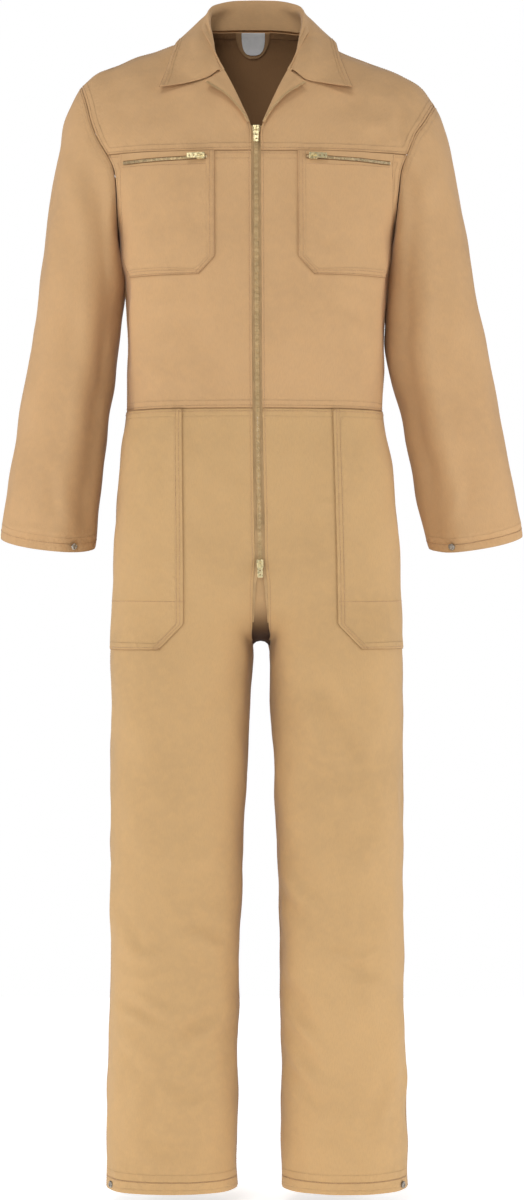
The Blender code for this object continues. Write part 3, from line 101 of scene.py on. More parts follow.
def smooth(table: Table, column: int, at: float) -> float:
    """Read a table's column on a smooth curve with no overshoot.

    Args:
        table: Rows whose first column is the key.
        column: The column to read.
        at: The key's value.

    Returns:
        The column's value there.
    """
    rows = sorted(table)
    keys = np.array([row[0] for row in rows])
    values = np.array([row[column] for row in rows])
    steps = np.diff(keys)
    slopes = np.diff(values) / steps
    tangents = np.zeros(len(keys))
    tangents[0], tangents[-1] = slopes[0], slopes[-1]
    for i in range(1, len(keys) - 1):
        if slopes[i - 1] * slopes[i] > 0:
            ahead = 2 * steps[i] + steps[i - 1]
            behind = steps[i] + 2 * steps[i - 1]
            tangents[i] = (ahead + behind) / (ahead / slopes[i - 1] + behind / slopes[i])
    at = min(max(at, keys[0]), keys[-1])
    i = min(int(np.searchsorted(keys, at, side="right")) - 1, len(steps) - 1)
    start, end, leave, arrive = cubic((at - keys[i]) / steps[i])
    return float(start * values[i] + end * values[i + 1]
                 + (leave * tangents[i] + arrive * tangents[i + 1]) * steps[i])


def linear(table: Table, at: float) -> float:
    """Read a table's second column on straight lines."""
    return float(np.interp(at, [row[0] for row in table], [row[1] for row in table]))


def mix(start: Value, end: Value, share: Value) -> Value:
    """Go a share of the way from one value to another."""
    return start + (end - start) * share


def hermite(values: np.ndarray, knots: np.ndarray, at: np.ndarray) -> np.ndarray:
    """Interpolate rows of values on a smooth curve through all of them.

    Args:
        values: One row for each knot.
        knots: Rising positions of the rows.
        at: Positions to read.

    Returns:
        One row for each position.
    """
    steps = np.diff(knots)
    shape = (-1,) + (1,) * (values.ndim - 1)
    slopes = np.diff(values, axis=0) / steps.reshape(shape)
    tangents = np.empty_like(values)
    tangents[0], tangents[-1] = slopes[0], slopes[-1]
    before, after = steps[:-1].reshape(shape), steps[1:].reshape(shape)
    tangents[1:-1] = (slopes[:-1] * after + slopes[1:] * before) / (before + after)
    i = np.clip(np.searchsorted(knots, at, side="right") - 1, 0, len(steps) - 1)
    start, end, leave, arrive = cubic(((at - knots[i]) / steps[i]).reshape(shape))
    return (start * values[i] + end * values[i + 1]
            + (leave * tangents[i] + arrive * tangents[i + 1]) * steps[i].reshape(shape))


def halve(low: float, high: float, beyond: Callable[[float], bool], steps: int = 40) -> float:
    """Find where a test turns true between two values."""
    at = low
    for _ in range(steps):
        at = (low + high) / 2
        low, high = (low, at) if beyond(at) else (at, high)
    return at


def ridge(away: Value, trough: float, trough_at: float, trough_width: float) -> Value:
    """Height of a fold, with a trough beside it.

    Args:
        away: Distance from the crest in half widths of the fold.
        trough: Depth of the trough as a share of the crest's height.
        trough_at: Where the trough is deepest.
        trough_width: Square of its width.

    Returns:
        A share of the crest's height.
    """
    return np.exp(-away ** 2) - trough * np.exp(-(away - trough_at) ** 2 / trough_width)


def gaps(points: np.ndarray, axis: int = 0) -> np.ndarray:
    """Distances from each point to the next along an axis."""
    return np.linalg.norm(np.diff(points, axis=axis), axis=-1)


def running(lengths: np.ndarray) -> np.ndarray:
    """Lengths added up, from 0."""
    return np.concatenate(([0.0], np.cumsum(lengths)))


def read(at: Value, knots: np.ndarray, rows: np.ndarray) -> np.ndarray:
    """Read every column of rows at places between their knots, on straight lines."""
    return np.array([np.interp(at, knots, column) for column in rows.T]).T


# -------------------- the cut

UNDERARM_Z = -0.265
YOKE_SEAM_Z = -0.1555
POCKET_TOP_Z = -0.171
WAIST_Z = -0.489
RISE_START_Z = -0.690
CROTCH_Z = -0.794
HIPS_END_Z = -0.802
HEM_Z = -1.5175
HEM_DEPTH = 0.016
HEM_STEP = 0.0015
SLIDER_TOP_Z = -0.124
SLIDER_BOTTOM_Z = -0.691
TRUNK_ROUNDNESS = 2.5
SLEEVE_ROUNDNESS = 2.15
UNDERARM_SQUARENESS = 1.8
UNDERARM_RINGS = 9

# z, half width on the wearer's right and left, depth in front of and behind the side seams
TRUNK: Table = (
    (-0.802, 0.194, 0.194, 0.104, 0.112), (-0.738, 0.1915, 0.191, 0.108, 0.118),
    (-0.658, 0.1875, 0.1875, 0.11, 0.114), (-0.598, 0.183, 0.182, 0.11, 0.104),
    (-0.559, 0.1796, 0.178, 0.109, 0.097), (-0.519, 0.1755, 0.17, 0.107, 0.091),
    (-0.489, 0.1712, 0.1655, 0.106, 0.088), (-0.439, 0.1705, 0.1665, 0.109, 0.09),
    (-0.399, 0.1715, 0.169, 0.113, 0.095), (-0.359, 0.174, 0.172, 0.117, 0.101),
    (-0.312, 0.178, 0.1768, 0.12, 0.107), (-0.265, 0.1835, 0.181, 0.121, 0.111),
    (-0.235, 0.1925, 0.1915, 0.121, 0.111), (-0.207, 0.2035, 0.2035, 0.121, 0.11),
    (-0.17, 0.2195, 0.22, 0.12, 0.108), (-0.123, 0.25, 0.25, 0.12, 0.106),
    (-0.075, 0.262, 0.264, 0.12, 0.105), (-0.03, 0.268, 0.27, 0.12, 0.105),
    (0.06, 0.275, 0.276, 0.12, 0.105),
)

# x, z of the line over the shoulders
SHOULDERS: Table = (
    (-0.234, -0.0545), (-0.214, -0.037), (-0.1955, -0.029), (-0.174, -0.02), (-0.101, 0.005),
    (-0.075, 0.022), (-0.04, 0.047), (0.0, 0.06), (0.04, 0.043), (0.075, 0.016), (0.105, -0.005),
    (0.17, -0.0306), (0.197, -0.0426), (0.221, -0.059), (0.2367, -0.08),
)

# z, distance of the armhole seam from the middle, on each side
ARMHOLES: dict[Side, Table] = {
    Side.RIGHT: (
        (-0.265, 0.1835), (-0.2125, 0.1839), (-0.1775, 0.1866), (-0.162, 0.1924),
        (-0.1338, 0.2083), (-0.1079, 0.2183), (-0.0785, 0.226), (-0.0545, 0.234),
    ),
    Side.LEFT: (
        (-0.265, 0.181), (-0.228, 0.184), (-0.1784, 0.1893), (-0.1542, 0.1945), (-0.1304, 0.2062),
        (-0.1055, 0.2219), (-0.08, 0.2367),
    ),
}

# z, distance of a front's inner edge from the middle: zip, then roll line, then neckline
FRONT_EDGE: Table = (
    (-0.16, 0.0065), (-0.124, 0.0065), (-0.1203, 0.008), (-0.0687, 0.0305), (-0.03, 0.05),
    (-0.005, 0.0625), (0.022, 0.075),
)
NECK_POINT_X = 0.075
BACK_NECK_Z = 0.029

# z, x of the middle of the garment
MIDDLE: Table = (
    (-1.52, 0.0033), (-1.0, 0.004), (-0.794, 0.0049), (-0.7, 0.0042), (-0.489, 0.0008),
    (-0.15, -0.001), (0.06, -0.0015),
)

# z, outer edge, depth in front and behind, y of the middle
LEGS: Table = (
    (-1.5175, 0.2005, 0.072, 0.08, 0.004), (-1.4, 0.199, 0.075, 0.082, 0.002),
    (-1.25, 0.1955, 0.08, 0.084, 0.0), (-1.1, 0.194, 0.084, 0.087, -0.003),
    (-0.95, 0.194, 0.092, 0.097, -0.002), (-0.86, 0.194, 0.099, 0.105, 0.0),
    (-0.794, 0.1938, 0.104, 0.112, 0.0), (-0.69, 0.1893, 0.109, 0.117, 0.0),
)

# z, how square a leg's section is
LEG_ROUNDNESS: Table = ((-1.5175, 2.2), (-1.45, 2.2), (-1.25, 2.45))

# z, half the gap between the legs
LEG_GAP: Table = (
    (-1.52, 0.03), (-1.35, 0.029), (-1.137, 0.0255), (-1.031, 0.021), (-0.924, 0.0165),
    (-0.871, 0.0142), (-0.828, 0.0122), (-0.812, 0.0112), (-0.805, 0.0102), (-0.799, 0.0070),
    (-0.7950, 0.0006), (-0.79, 0.0002), (-0.6, 0.0002),
)

# one row a ring, shoulder to cuff: x and z of the outer and the inner edge
SLEEVES: dict[Side, Table] = {
    Side.RIGHT: (
        (0.234, -0.0545, 0.1835, -0.265), (0.2425, -0.0685, 0.1835, -0.2685),
        (0.2535, -0.096, 0.182, -0.273), (0.2625, -0.134, 0.180, -0.279),
        (0.27, -0.18, 0.1775, -0.287), (0.2765, -0.222, 0.1752, -0.299),
        (0.283, -0.262, 0.1742, -0.316), (0.2885, -0.305, 0.1757, -0.338),
        (0.2935, -0.352, 0.1796, -0.368), (0.299, -0.392, 0.1827, -0.399),
        (0.306, -0.432, 0.189, -0.438), (0.313, -0.472, 0.194, -0.479),
        (0.3205, -0.515, 0.1988, -0.522), (0.3275, -0.556, 0.205, -0.565),
        (0.334, -0.595, 0.209, -0.606), (0.3385, -0.626, 0.212, -0.6385),
        (0.3402, -0.638, 0.2136, -0.6525), (0.3404, -0.6395, 0.2138, -0.654),
        (0.342, -0.6545, 0.2157, -0.669),
    ),
    Side.LEFT: (
        (0.2367, -0.08, 0.181, -0.265), (0.2435, -0.093, 0.1800, -0.2685),
        (0.251, -0.1165, 0.1783, -0.273), (0.2585, -0.15, 0.1765, -0.279),
        (0.266, -0.187, 0.1752, -0.288), (0.2735, -0.228, 0.174, -0.3),
        (0.2815, -0.272, 0.1726, -0.317), (0.2895, -0.318, 0.1708, -0.341),
        (0.299, -0.362, 0.1695, -0.372), (0.3075, -0.405, 0.1692, -0.405),
        (0.316, -0.447, 0.179, -0.447), (0.3235, -0.487, 0.1905, -0.488),
        (0.331, -0.527, 0.1985, -0.53), (0.3385, -0.566, 0.2068, -0.572),
        (0.3455, -0.603, 0.2145, -0.612), (0.3505, -0.627, 0.2215, -0.644),
        (0.3524, -0.636, 0.224, -0.655), (0.3526, -0.6372, 0.2243, -0.6564),
        (0.3548, -0.651, 0.2285, -0.6705),
    ),
}

# share of the way down the sleeve, depth in front and behind, y of the middle, drop of the front
SLEEVE_DEPTHS: Table = (
    (0.0, 0.066, 0.074, 0.004, 0.0), (0.2, 0.072, 0.078, 0.006, 0.0),
    (0.4, 0.069, 0.072, 0.009, 0.0), (0.6, 0.061, 0.063, 0.012, 0.002),
    (0.8, 0.053, 0.053, 0.015, 0.007), (1.0, 0.046, 0.046, 0.018, 0.011),
)
SLEEVE_HEAD_RINGS = 5
SLEEVE_FOLD_RING = 3

# The largest folds: start and end of the crest, half width, height
FOLDS = (
    ((0.06, -0.11, -0.9), (0.17, -0.08, -1.01), 0.03, 0.005),
    ((0.045, -0.08, -1.04), (0.15, -0.095, -1.09), 0.026, 0.0045),
    ((0.04, -0.07, -1.2), (0.12, -0.085, -1.27), 0.028, 0.0045),
    ((0.15, -0.07, -1.26), (0.19, -0.02, -1.38), 0.026, 0.0035),
    ((-0.05, -0.08, -1.06), (-0.15, -0.09, -1.12), 0.028, 0.004),
    ((-0.18, -0.04, -1.15), (-0.1, -0.085, -1.25), 0.03, 0.004),
    ((-0.06, 0.1, -1.12), (-0.17, 0.07, -1.06), 0.028, 0.005),
    ((0.06, 0.1, -1.11), (0.17, 0.07, -1.05), 0.028, 0.005),
    ((-0.12, 0.105, -0.84), (-0.03, 0.11, -0.8), 0.026, 0.0045),
    ((0.12, 0.105, -0.84), (0.03, 0.11, -0.8), 0.026, 0.0045),
    ((-0.14, 0.07, -0.4), (0.12, 0.085, -0.44), 0.03, 0.0045),
    ((0.15, -0.08, -0.1), (0.19, -0.07, -0.15), 0.018, 0.0035),
)

# z of the panels' rows, or shares of the way up or across
FRONT_ROWS = (-0.4845, -0.455, -0.425, -0.395, -0.366, -0.34, -0.316, -0.293)
UNDERARM_ROWS = (-0.233, -0.201)
UNDERARM_ROW = len(FRONT_ROWS) + 1
YOKE_SHARES = (0.0, 0.19, 0.4, 0.62, 0.81, 0.945, 1.0)
YOKE_COLUMNS = (0.0, 0.06, 0.18, 0.32, 0.46, 0.60, 0.74, 0.88, 1.0)
BACK_ROWS = (-0.4845, -0.45, -0.41, -0.37, -0.33, -0.296)
BACK_STEPS = 9
BACK_SHARES = (0.0, 0.026, 0.052, 0.09, 0.13, 0.17, 0.204, 0.33, 0.46, 0.62, 0.8, 1.0)

# z, distance from the middle of a chest pocket's inner edge; of the next column from that
# edge; and of the outer edge from the middle
CHEST_POCKET_IN: Table = (
    (-0.49, 0.05), (-0.366, 0.07), (-0.316, 0.0745), (-0.293, 0.0535), (-0.15, 0.0535),
)
CHEST_POCKET_BAND: Table = (
    (-0.49, 0.0205), (-0.201, 0.0205), (-0.171, 0.011), (-0.15, 0.011),
)
CHEST_POCKET_OUT: Table = (
    (-0.49, 0.16), (-0.316, 0.164), (-0.293, 0.174), (-0.201, 0.1785), (-0.15, 0.1785),
)
CHEST_POCKET_EDGE = 0.0050  # from the outer edge to the column before it
# the front's rows and columns below a chest pocket, and those round its zip
CHEST_POCKET_ROWS, CHEST_POCKET_COLUMNS = (7, 13), (3, 9)
CHEST_ZIP_WINDOW = ((12, 13), (4, 8))

# z, distance of a hip pocket's inner edge from x = 0
HIP_POCKET_IN: Table = ((-0.802, 0.131), (-0.77, 0.1), (-0.489, 0.0975))

# z at the side seam, turn of the rise curve in degrees
HIP_ROWS: Table = (
    (-0.4935, 0), (-0.525, 0), (-0.56, 0), (-0.602, 0), (-0.646, 0), (-0.69, 0), (-0.713, 13),
    (-0.74, 30), (-0.77, 50), (-0.782, 65), (-0.792, 78), (-0.802, 90),
)
CROTCH_ROW = len(HIP_ROWS)

# z at the rise, distance of a front's edge from the middle, and of a back's; the cloth
# beside the edge moves with it, less and less as far as FLY_REACH
FLY_EDGE: Table = (
    (-0.794, 0.0103), (-0.7697, 0.0102), (-0.742, 0.0100), (-0.7134, 0.0092), (-0.69, 0.0070),
    (-0.489, 0.0065),
)
SEAT_EDGE: Table = ((-0.794, 0.0100), (-0.7917, 0.0040), (-0.784, 0.0), (-0.489, 0.0))
FLY_REACH = 0.055

# shares of a row from the side seam to the pocket's edge, and from there to the rise
POCKET_SHARES = (0.0, 0.22, 0.48, 0.75, 1.0)
RISE_SHARES = (0.30, 0.58, 0.82, 0.95, 1.0)

# z of the zip tape's rows below its lower slider
FLY_ROWS = (-0.7134, -0.742, -0.7697)

# z, distance of the zip tape's inner edge from the middle
TAPE_OPENING: Table = ((-0.7697, 0.0088), (-0.742, 0.0070), (-0.7134, 0.0048), (-0.695, 0.0006))

# z of the trousers' rows below the crotch
LEG_ROWS = (
    -0.805, -0.826, -0.852, -0.892, -0.937, -0.984, -1.031, -1.078, -1.125, -1.172, -1.219,
    -1.268, -1.318, -1.368, -1.418, -1.462,
)

# share from the centre back to the front end: x, y and z of the roll line, then of the outer edge
COLLAR: Table = (
    (0.0, 0.0, 0.068, 0.0705, 0.0, 0.102, -0.01),
    (0.15, 0.024, 0.063, 0.069, 0.046, 0.096, -0.0095),
    (0.3, 0.045, 0.044, 0.062, 0.085, 0.07, -0.004),
    (0.45, 0.059, 0.015, 0.05, 0.104, 0.025, 0.007),
    (0.58, 0.061, -0.008, 0.034, 0.106, -0.008, 0.002),
    (0.72, 0.058, -0.033, 0.012, 0.11, -0.036, -0.018),
    (0.86, 0.053, -0.061, -0.02, 0.118, -0.06, -0.044),
    (1.0, 0.0455, -0.083, -0.047, 0.1262, -0.08, -0.068),
)
COLLAR_NECK_SHARE = 0.45
COLLAR_SECTIONS = 13
COLLAR_CLEARANCE = 0.0052
NOTCH = (0.0672, -0.061)  # distance from the middle, and z

# z on the roll line, distance from the middle and z of the outer edge, lift of the outer edge
TURN_BACK: Table = (
    (-0.046, 0.065, -0.0655, 0.0085), (-0.056, 0.054, -0.073, 0.0085),
    (-0.0687, 0.043, -0.08, 0.008), (-0.085, 0.0325, -0.09, 0.007), (-0.1, 0.023, -0.101, 0.0055),
    (-0.111, 0.016, -0.1115, 0.004), (-0.118, 0.012, -0.1195, 0.003),
)
TURN_BACK_COLUMNS = (0.0, 0.3, 0.55, 0.8, 1.0)
ROLL_LIFT = 0.0005


def middle(z: float) -> float:
    """x of the garment's middle at a height."""
    return smooth(MIDDLE, 1, z)


def fold_height(point: np.ndarray) -> float:
    """How far the largest folds lift the cloth at a point."""
    lift = 0.0
    for start, end, width, height in FOLDS:
        start, end = np.array(start), np.array(end)
        along = end - start
        share = min(max(float(np.dot(point - start, along) / np.dot(along, along)), 0.0), 1.0)
        away = float(np.linalg.norm(point - start - along * share)) / width
        lift += height * ridge(away, 0.35, 1.7, 0.5)
    return lift


def folded(point: Sequence[float], axis_x: float, axis_y: float) -> np.ndarray:
    """Move a point away from the limb's axis by the folds that cross it."""
    point = np.array(point)
    outward = np.array((point[0] - axis_x, point[1] - axis_y, 0.0))
    return point + outward / np.linalg.norm(outward) * fold_height(point)


def rise_z(turn: float) -> float:
    """z of the rise at a turn of its curve in degrees."""
    return RISE_START_Z - (RISE_START_Z - CROTCH_Z) * math.sin(math.radians(turn))


@dataclass(frozen=True)
class Trunk:
    """Fronts, yokes and back: a rounded trunk that closes over the shoulders.

    Args:
        shoulder_seam_y: y of the shoulder seams.
        front_roundness: How square the front closes over the shoulders.
        back_roundness: How square the back closes over the shoulders.
        neck_roundness: How square the back's neckline is.
        zip_edge: Distance from a front's inner edge to its next column.
        pocket_reach: Largest shares of the half width at which a chest pocket's outer edge and
            the column before it lie.
    """

    shoulder_seam_y: float = 0.008
    front_roundness: float = 2.0
    back_roundness: float = 2.4
    neck_roundness: float = 2.2
    zip_edge: float = 0.004
    pocket_reach: tuple[float, float] = (0.968, 0.915)

    def half_width(self, side: int, z: float) -> float:
        """Half width of the trunk on one side."""
        return smooth(TRUNK, 1 if side < 0 else 2, z)

    def shoulder_z(self, x: float) -> float:
        """Height of the line over the shoulders."""
        return smooth(SHOULDERS, 1, x)

    def armhole_x(self, side: Side, z: float) -> float:
        """x of the armhole seam at a height."""
        return side * smooth(ARMHOLES[side], 1, z)

    def rise(self, x: float, z: float) -> float:
        """Share of the way from the underarm level to the shoulder line."""
        return min(max((z - UNDERARM_Z) / (self.shoulder_z(x) - UNDERARM_Z), 0.0), 1.0)

    def y(self, face: Face, x: float, z: float) -> float:
        """y of the trunk's surface."""
        side = -1 if x < 0 else 1
        across = min(abs(x) / self.half_width(side, z), 1.0)
        depth = smooth(TRUNK, 3 if face < 0 else 4, z)
        roundness = self.front_roundness if face < 0 else self.back_roundness
        climb = self.rise(x, z)
        closing = (1 - climb ** roundness) ** (1 / roundness)
        bulge = (1 - across ** TRUNK_ROUNDNESS) ** (1 / TRUNK_ROUNDNESS)
        return self.shoulder_seam_y * climb ** 2 + face * depth * bulge * closing

    def top_z(self, x: float, y: float) -> float:
        """Height of the shoulders over a place in plan."""
        face = -1 if y < self.shoulder_seam_y else 1
        return halve(UNDERARM_Z, self.shoulder_z(x),
                     lambda z: face * (self.y(face, x, z) - y) <= 0, 30)

    def arc_x(self, angle: float, side: int, z: float) -> float:
        """x on the cross-section; 0 is the middle and a quarter turn is the side seam."""
        return side * self.half_width(side, z) * math.sin(angle) ** (2 / TRUNK_ROUNDNESS)

    def arc_angle(self, x: float, z: float) -> float:
        """The angle that arc_x turns into x."""
        side = -1 if x < 0 else 1
        return math.asin(min(abs(x) / self.half_width(side, z), 1.0) ** (TRUNK_ROUNDNESS / 2))

    def front_edge(self, side: Side, z: float) -> float:
        """x of a front's inner edge at a height."""
        return middle(z) + side * smooth(FRONT_EDGE, 1, z)

    def neck_top(self, x: float) -> float:
        """Share of the rise at which the back ends: its neckline, and the shoulder seam."""
        if abs(x) >= NECK_POINT_X:
            return 1.0
        dip = 1 - (abs(x) / NECK_POINT_X) ** self.neck_roundness
        side_z = self.shoulder_z(math.copysign(NECK_POINT_X, x))
        return (mix(side_z, BACK_NECK_Z, dip) - UNDERARM_Z) / (self.shoulder_z(x) - UNDERARM_Z)

    def point(self, face: Face, x: float, z: float) -> np.ndarray:
        """A point of the trunk's surface."""
        return folded((x, self.y(face, x, z), z), middle(z) + 0.5 * x, 0.0)

    def armhole_levels(self, side: Side) -> list[float]:
        """Heights of the armhole's points in front, from the shoulder to the underarm."""
        tip = ARMHOLES[side][-1][0]
        yoke = [mix(YOKE_SEAM_Z, tip, share) for share in reversed(YOKE_SHARES)]
        return yoke + [POCKET_TOP_Z, *reversed(UNDERARM_ROWS), UNDERARM_Z]

    def back_levels(self, side: Side) -> list[float]:
        """Heights of the armhole's points behind, from the underarm to the shoulder."""
        levels = []
        for step in range(BACK_STEPS + 1):
            share = math.sin(math.radians(90 * step / BACK_STEPS))
            z = UNDERARM_Z
            for _ in range(40):
                z = mix(UNDERARM_Z, self.shoulder_z(self.armhole_x(side, z)), share)
            levels.append(z)
        return levels

    def front_columns(self, side: Side, z: float, end: float) -> list[float]:
        """x of a front's columns at one height, from the zip to the side seam or armhole."""
        start = self.front_edge(side, z)
        width = self.half_width(side, z)
        pocket_in = side * linear(CHEST_POCKET_IN, z)
        band = pocket_in + side * linear(CHEST_POCKET_BAND, z)
        near = [start, start + side * self.zip_edge, mix(start, pocket_in, 0.5), pocket_in, band]
        last_out, last_far = (reach * width for reach in self.pocket_reach)
        out = side * min(linear(CHEST_POCKET_OUT, z), last_out)
        far = side * min(abs(out) - CHEST_POCKET_EDGE, last_far)
        first, last = self.arc_angle(near[-1], z), self.arc_angle(far, z)
        between = [self.arc_x(mix(first, last, share), side, z) for share in (0.25, 0.5, 0.75)]
        return near + between + [far, out, end]

    def front(self, side: Side) -> np.ndarray:
        """The front below the yoke, waist to yoke seam, zip to side seam."""
        rows = []
        levels = [WAIST_Z + SEAM_GAP / 2, *FRONT_ROWS, UNDERARM_Z, *UNDERARM_ROWS, POCKET_TOP_Z,
                  YOKE_SEAM_Z - SEAM_GAP / 2]
        for z in levels:
            end = self.armhole_x(side, z) if z >= UNDERARM_Z else side * self.half_width(side, z)
            row = [self.point(Face.FRONT, x, z) for x in self.front_columns(side, z, end)]
            if z <= UNDERARM_Z:
                row[-1][1] = -SEAM_GAP / 2
            rows.append(row)
        return np.array(rows)

    def yoke_share(self, x: float, z: float) -> float:
        """Share of the way from the yoke seam to the shoulder seam."""
        foot = self.rise(x, YOKE_SEAM_Z)
        return (self.rise(x, z) - foot) / (1 - foot)

    def yoke(self, side: Side) -> np.ndarray:
        """The front yoke, yoke seam to shoulder seam."""
        rows = []
        tip = ARMHOLES[side][-1][0]
        for level in YOKE_SHARES:
            z_out = mix(YOKE_SEAM_Z, tip, level)
            x_out = self.armhole_x(side, z_out)
            share = self.yoke_share(x_out, z_out)
            z_in = halve(YOKE_SEAM_Z, FRONT_EDGE[-1][0], lambda z: self.yoke_share(
                self.front_edge(side, z), z) >= share)
            x_in = self.front_edge(side, z_in)
            row = []
            for column in YOKE_COLUMNS:
                x = mix(x_in, x_out, column)
                foot = self.rise(x, YOKE_SEAM_Z)
                z = mix(UNDERARM_Z, self.shoulder_z(x), mix(foot, 1.0, share))
                if level == 0.0:
                    z += SEAM_GAP / 2
                point = self.point(Face.FRONT, x, z)
                if level == 1.0:
                    point[1] -= SEAM_GAP / 2
                row.append(point)
            rows.append(row)
        return np.array(rows)

    def back(self) -> np.ndarray:
        """The back, waist to shoulders, right side seam to left side seam."""
        signed = [-share for share in reversed(BACK_SHARES)] + list(BACK_SHARES[1:])
        rows = []
        for z in (WAIST_Z + SEAM_GAP / 2, *BACK_ROWS):
            row = []
            for share in signed:
                side = -1 if share < 0 else 1
                x = self.arc_x(abs(share) * math.pi / 2, side, z)
                row.append(self.point(Face.BACK, x, z))
            rows.append(row)
        levels = {side: self.back_levels(side) for side in Side}
        for step in range(BACK_STEPS + 1):
            climb = math.sin(math.radians(90 * step / BACK_STEPS))
            row = []
            for share in signed:
                side = Side.RIGHT if share < 0 else Side.LEFT
                z_end = levels[side][step]
                end = self.arc_angle(self.armhole_x(side, z_end), z_end)
                x = self.arc_x(abs(share) * end, side, z_end)
                if abs(share) == 1.0:
                    z, x = z_end, self.armhole_x(side, z_end)
                else:
                    z = mix(UNDERARM_Z, self.shoulder_z(x), self.neck_top(x) * climb)
                point = self.point(Face.BACK, x, z)
                if step == BACK_STEPS:
                    point[1] += SEAM_GAP / 2
                row.append(point)
            rows.append(row)
        grid = np.array(rows)
        seam_rows = len(BACK_ROWS) + 2
        grid[:seam_rows, 0, 1] = SEAM_GAP / 2
        grid[:seam_rows, -1, 1] = SEAM_GAP / 2
        return grid

    def armhole(self, side: Side) -> np.ndarray:
        """The armhole seam: from the shoulder down the front and up the back."""
        front = [self.point(Face.FRONT, self.armhole_x(side, z), z)
                 for z in self.armhole_levels(side)]
        front[-1][1] = 0.0
        back = [self.point(Face.BACK, self.armhole_x(side, z), z)
                for z in self.back_levels(side)[1:-1]]
        return np.array(front + back)


@dataclass(frozen=True)
class SleeveCut:
    """A sleeve: rings from the armhole to the cuff.

    Args:
        trunk: The trunk it is sewn to.
        under_turn: How far the gap at the armhole seam turns outwards under the arm.
    """

    trunk: Trunk
    under_turn: float = 2.0

    def ring(self, side: Side, ring: int, angles: Sequence[float]) -> np.ndarray:
        """One ring of the sleeve as a plain rounded section."""
        table = SLEEVES[side]
        outer_x, outer_z, inner_x, inner_z = table[ring]
        share = ring / (len(table) - 1)
        front, back, y, drop = (smooth(SLEEVE_DEPTHS, column, share) for column in (1, 2, 3, 4))
        points = []
        for angle in angles:
            across, deep = math.cos(angle), math.sin(angle)
            roundness = SLEEVE_ROUNDNESS
            if across < 0:
                roundness += UNDERARM_SQUARENESS * max(1 - ring / UNDERARM_RINGS, 0.0)
            along = math.copysign(abs(across) ** (2 / roundness), across)
            out = abs(deep) ** (2 / roundness)
            depth = front if deep > 0 else back
            signed = -out if deep > 0 else out
            points.append((
                side * ((outer_x + inner_x) / 2 + (outer_x - inner_x) / 2 * along),
                y + depth * signed,
                (outer_z + inner_z) / 2 + (outer_z - inner_z) / 2 * along + drop * signed,
            ))
        return np.array(points)

    def grid(self, side: Side) -> np.ndarray:
        """The sleeve, armhole to cuff: each row is a closed ring."""
        armhole = self.trunk.armhole(side)
        top, bottom = armhole[0][2], UNDERARM_Z
        turning = len(self.trunk.armhole_levels(side)) - 1
        angles = []
        for i, point in enumerate(armhole):
            level = min(max((2 * point[2] - top - bottom) / (top - bottom), -1.0), 1.0)
            angle = math.acos(level)
            angles.append(angle if i <= turning else 2 * math.pi - angle)
        plain = self.ring(side, 0, angles)
        rings = []
        for ring in range(len(SLEEVES[side])):
            points = self.ring(side, ring, angles)
            fade = max(1 - ring / SLEEVE_HEAD_RINGS, 0.0)
            fade = fade * fade * (3 - 2 * fade)
            points = points + (armhole - plain) * fade
            if ring >= SLEEVE_FOLD_RING:
                centre = points.mean(axis=0)
                points = np.array([folded(point, centre[0], centre[1]) for point in points])
            rings.append(points)
        start = rings[1] - armhole
        start /= np.linalg.norm(start, axis=1)[:, None]
        under = (1 - np.cos(np.array(angles))) / 2
        start[:, 0] += side * self.under_turn * under
        start /= np.linalg.norm(start, axis=1)[:, None]
        rings[0] = armhole + start * SEAM_GAP
        return np.array(rings)


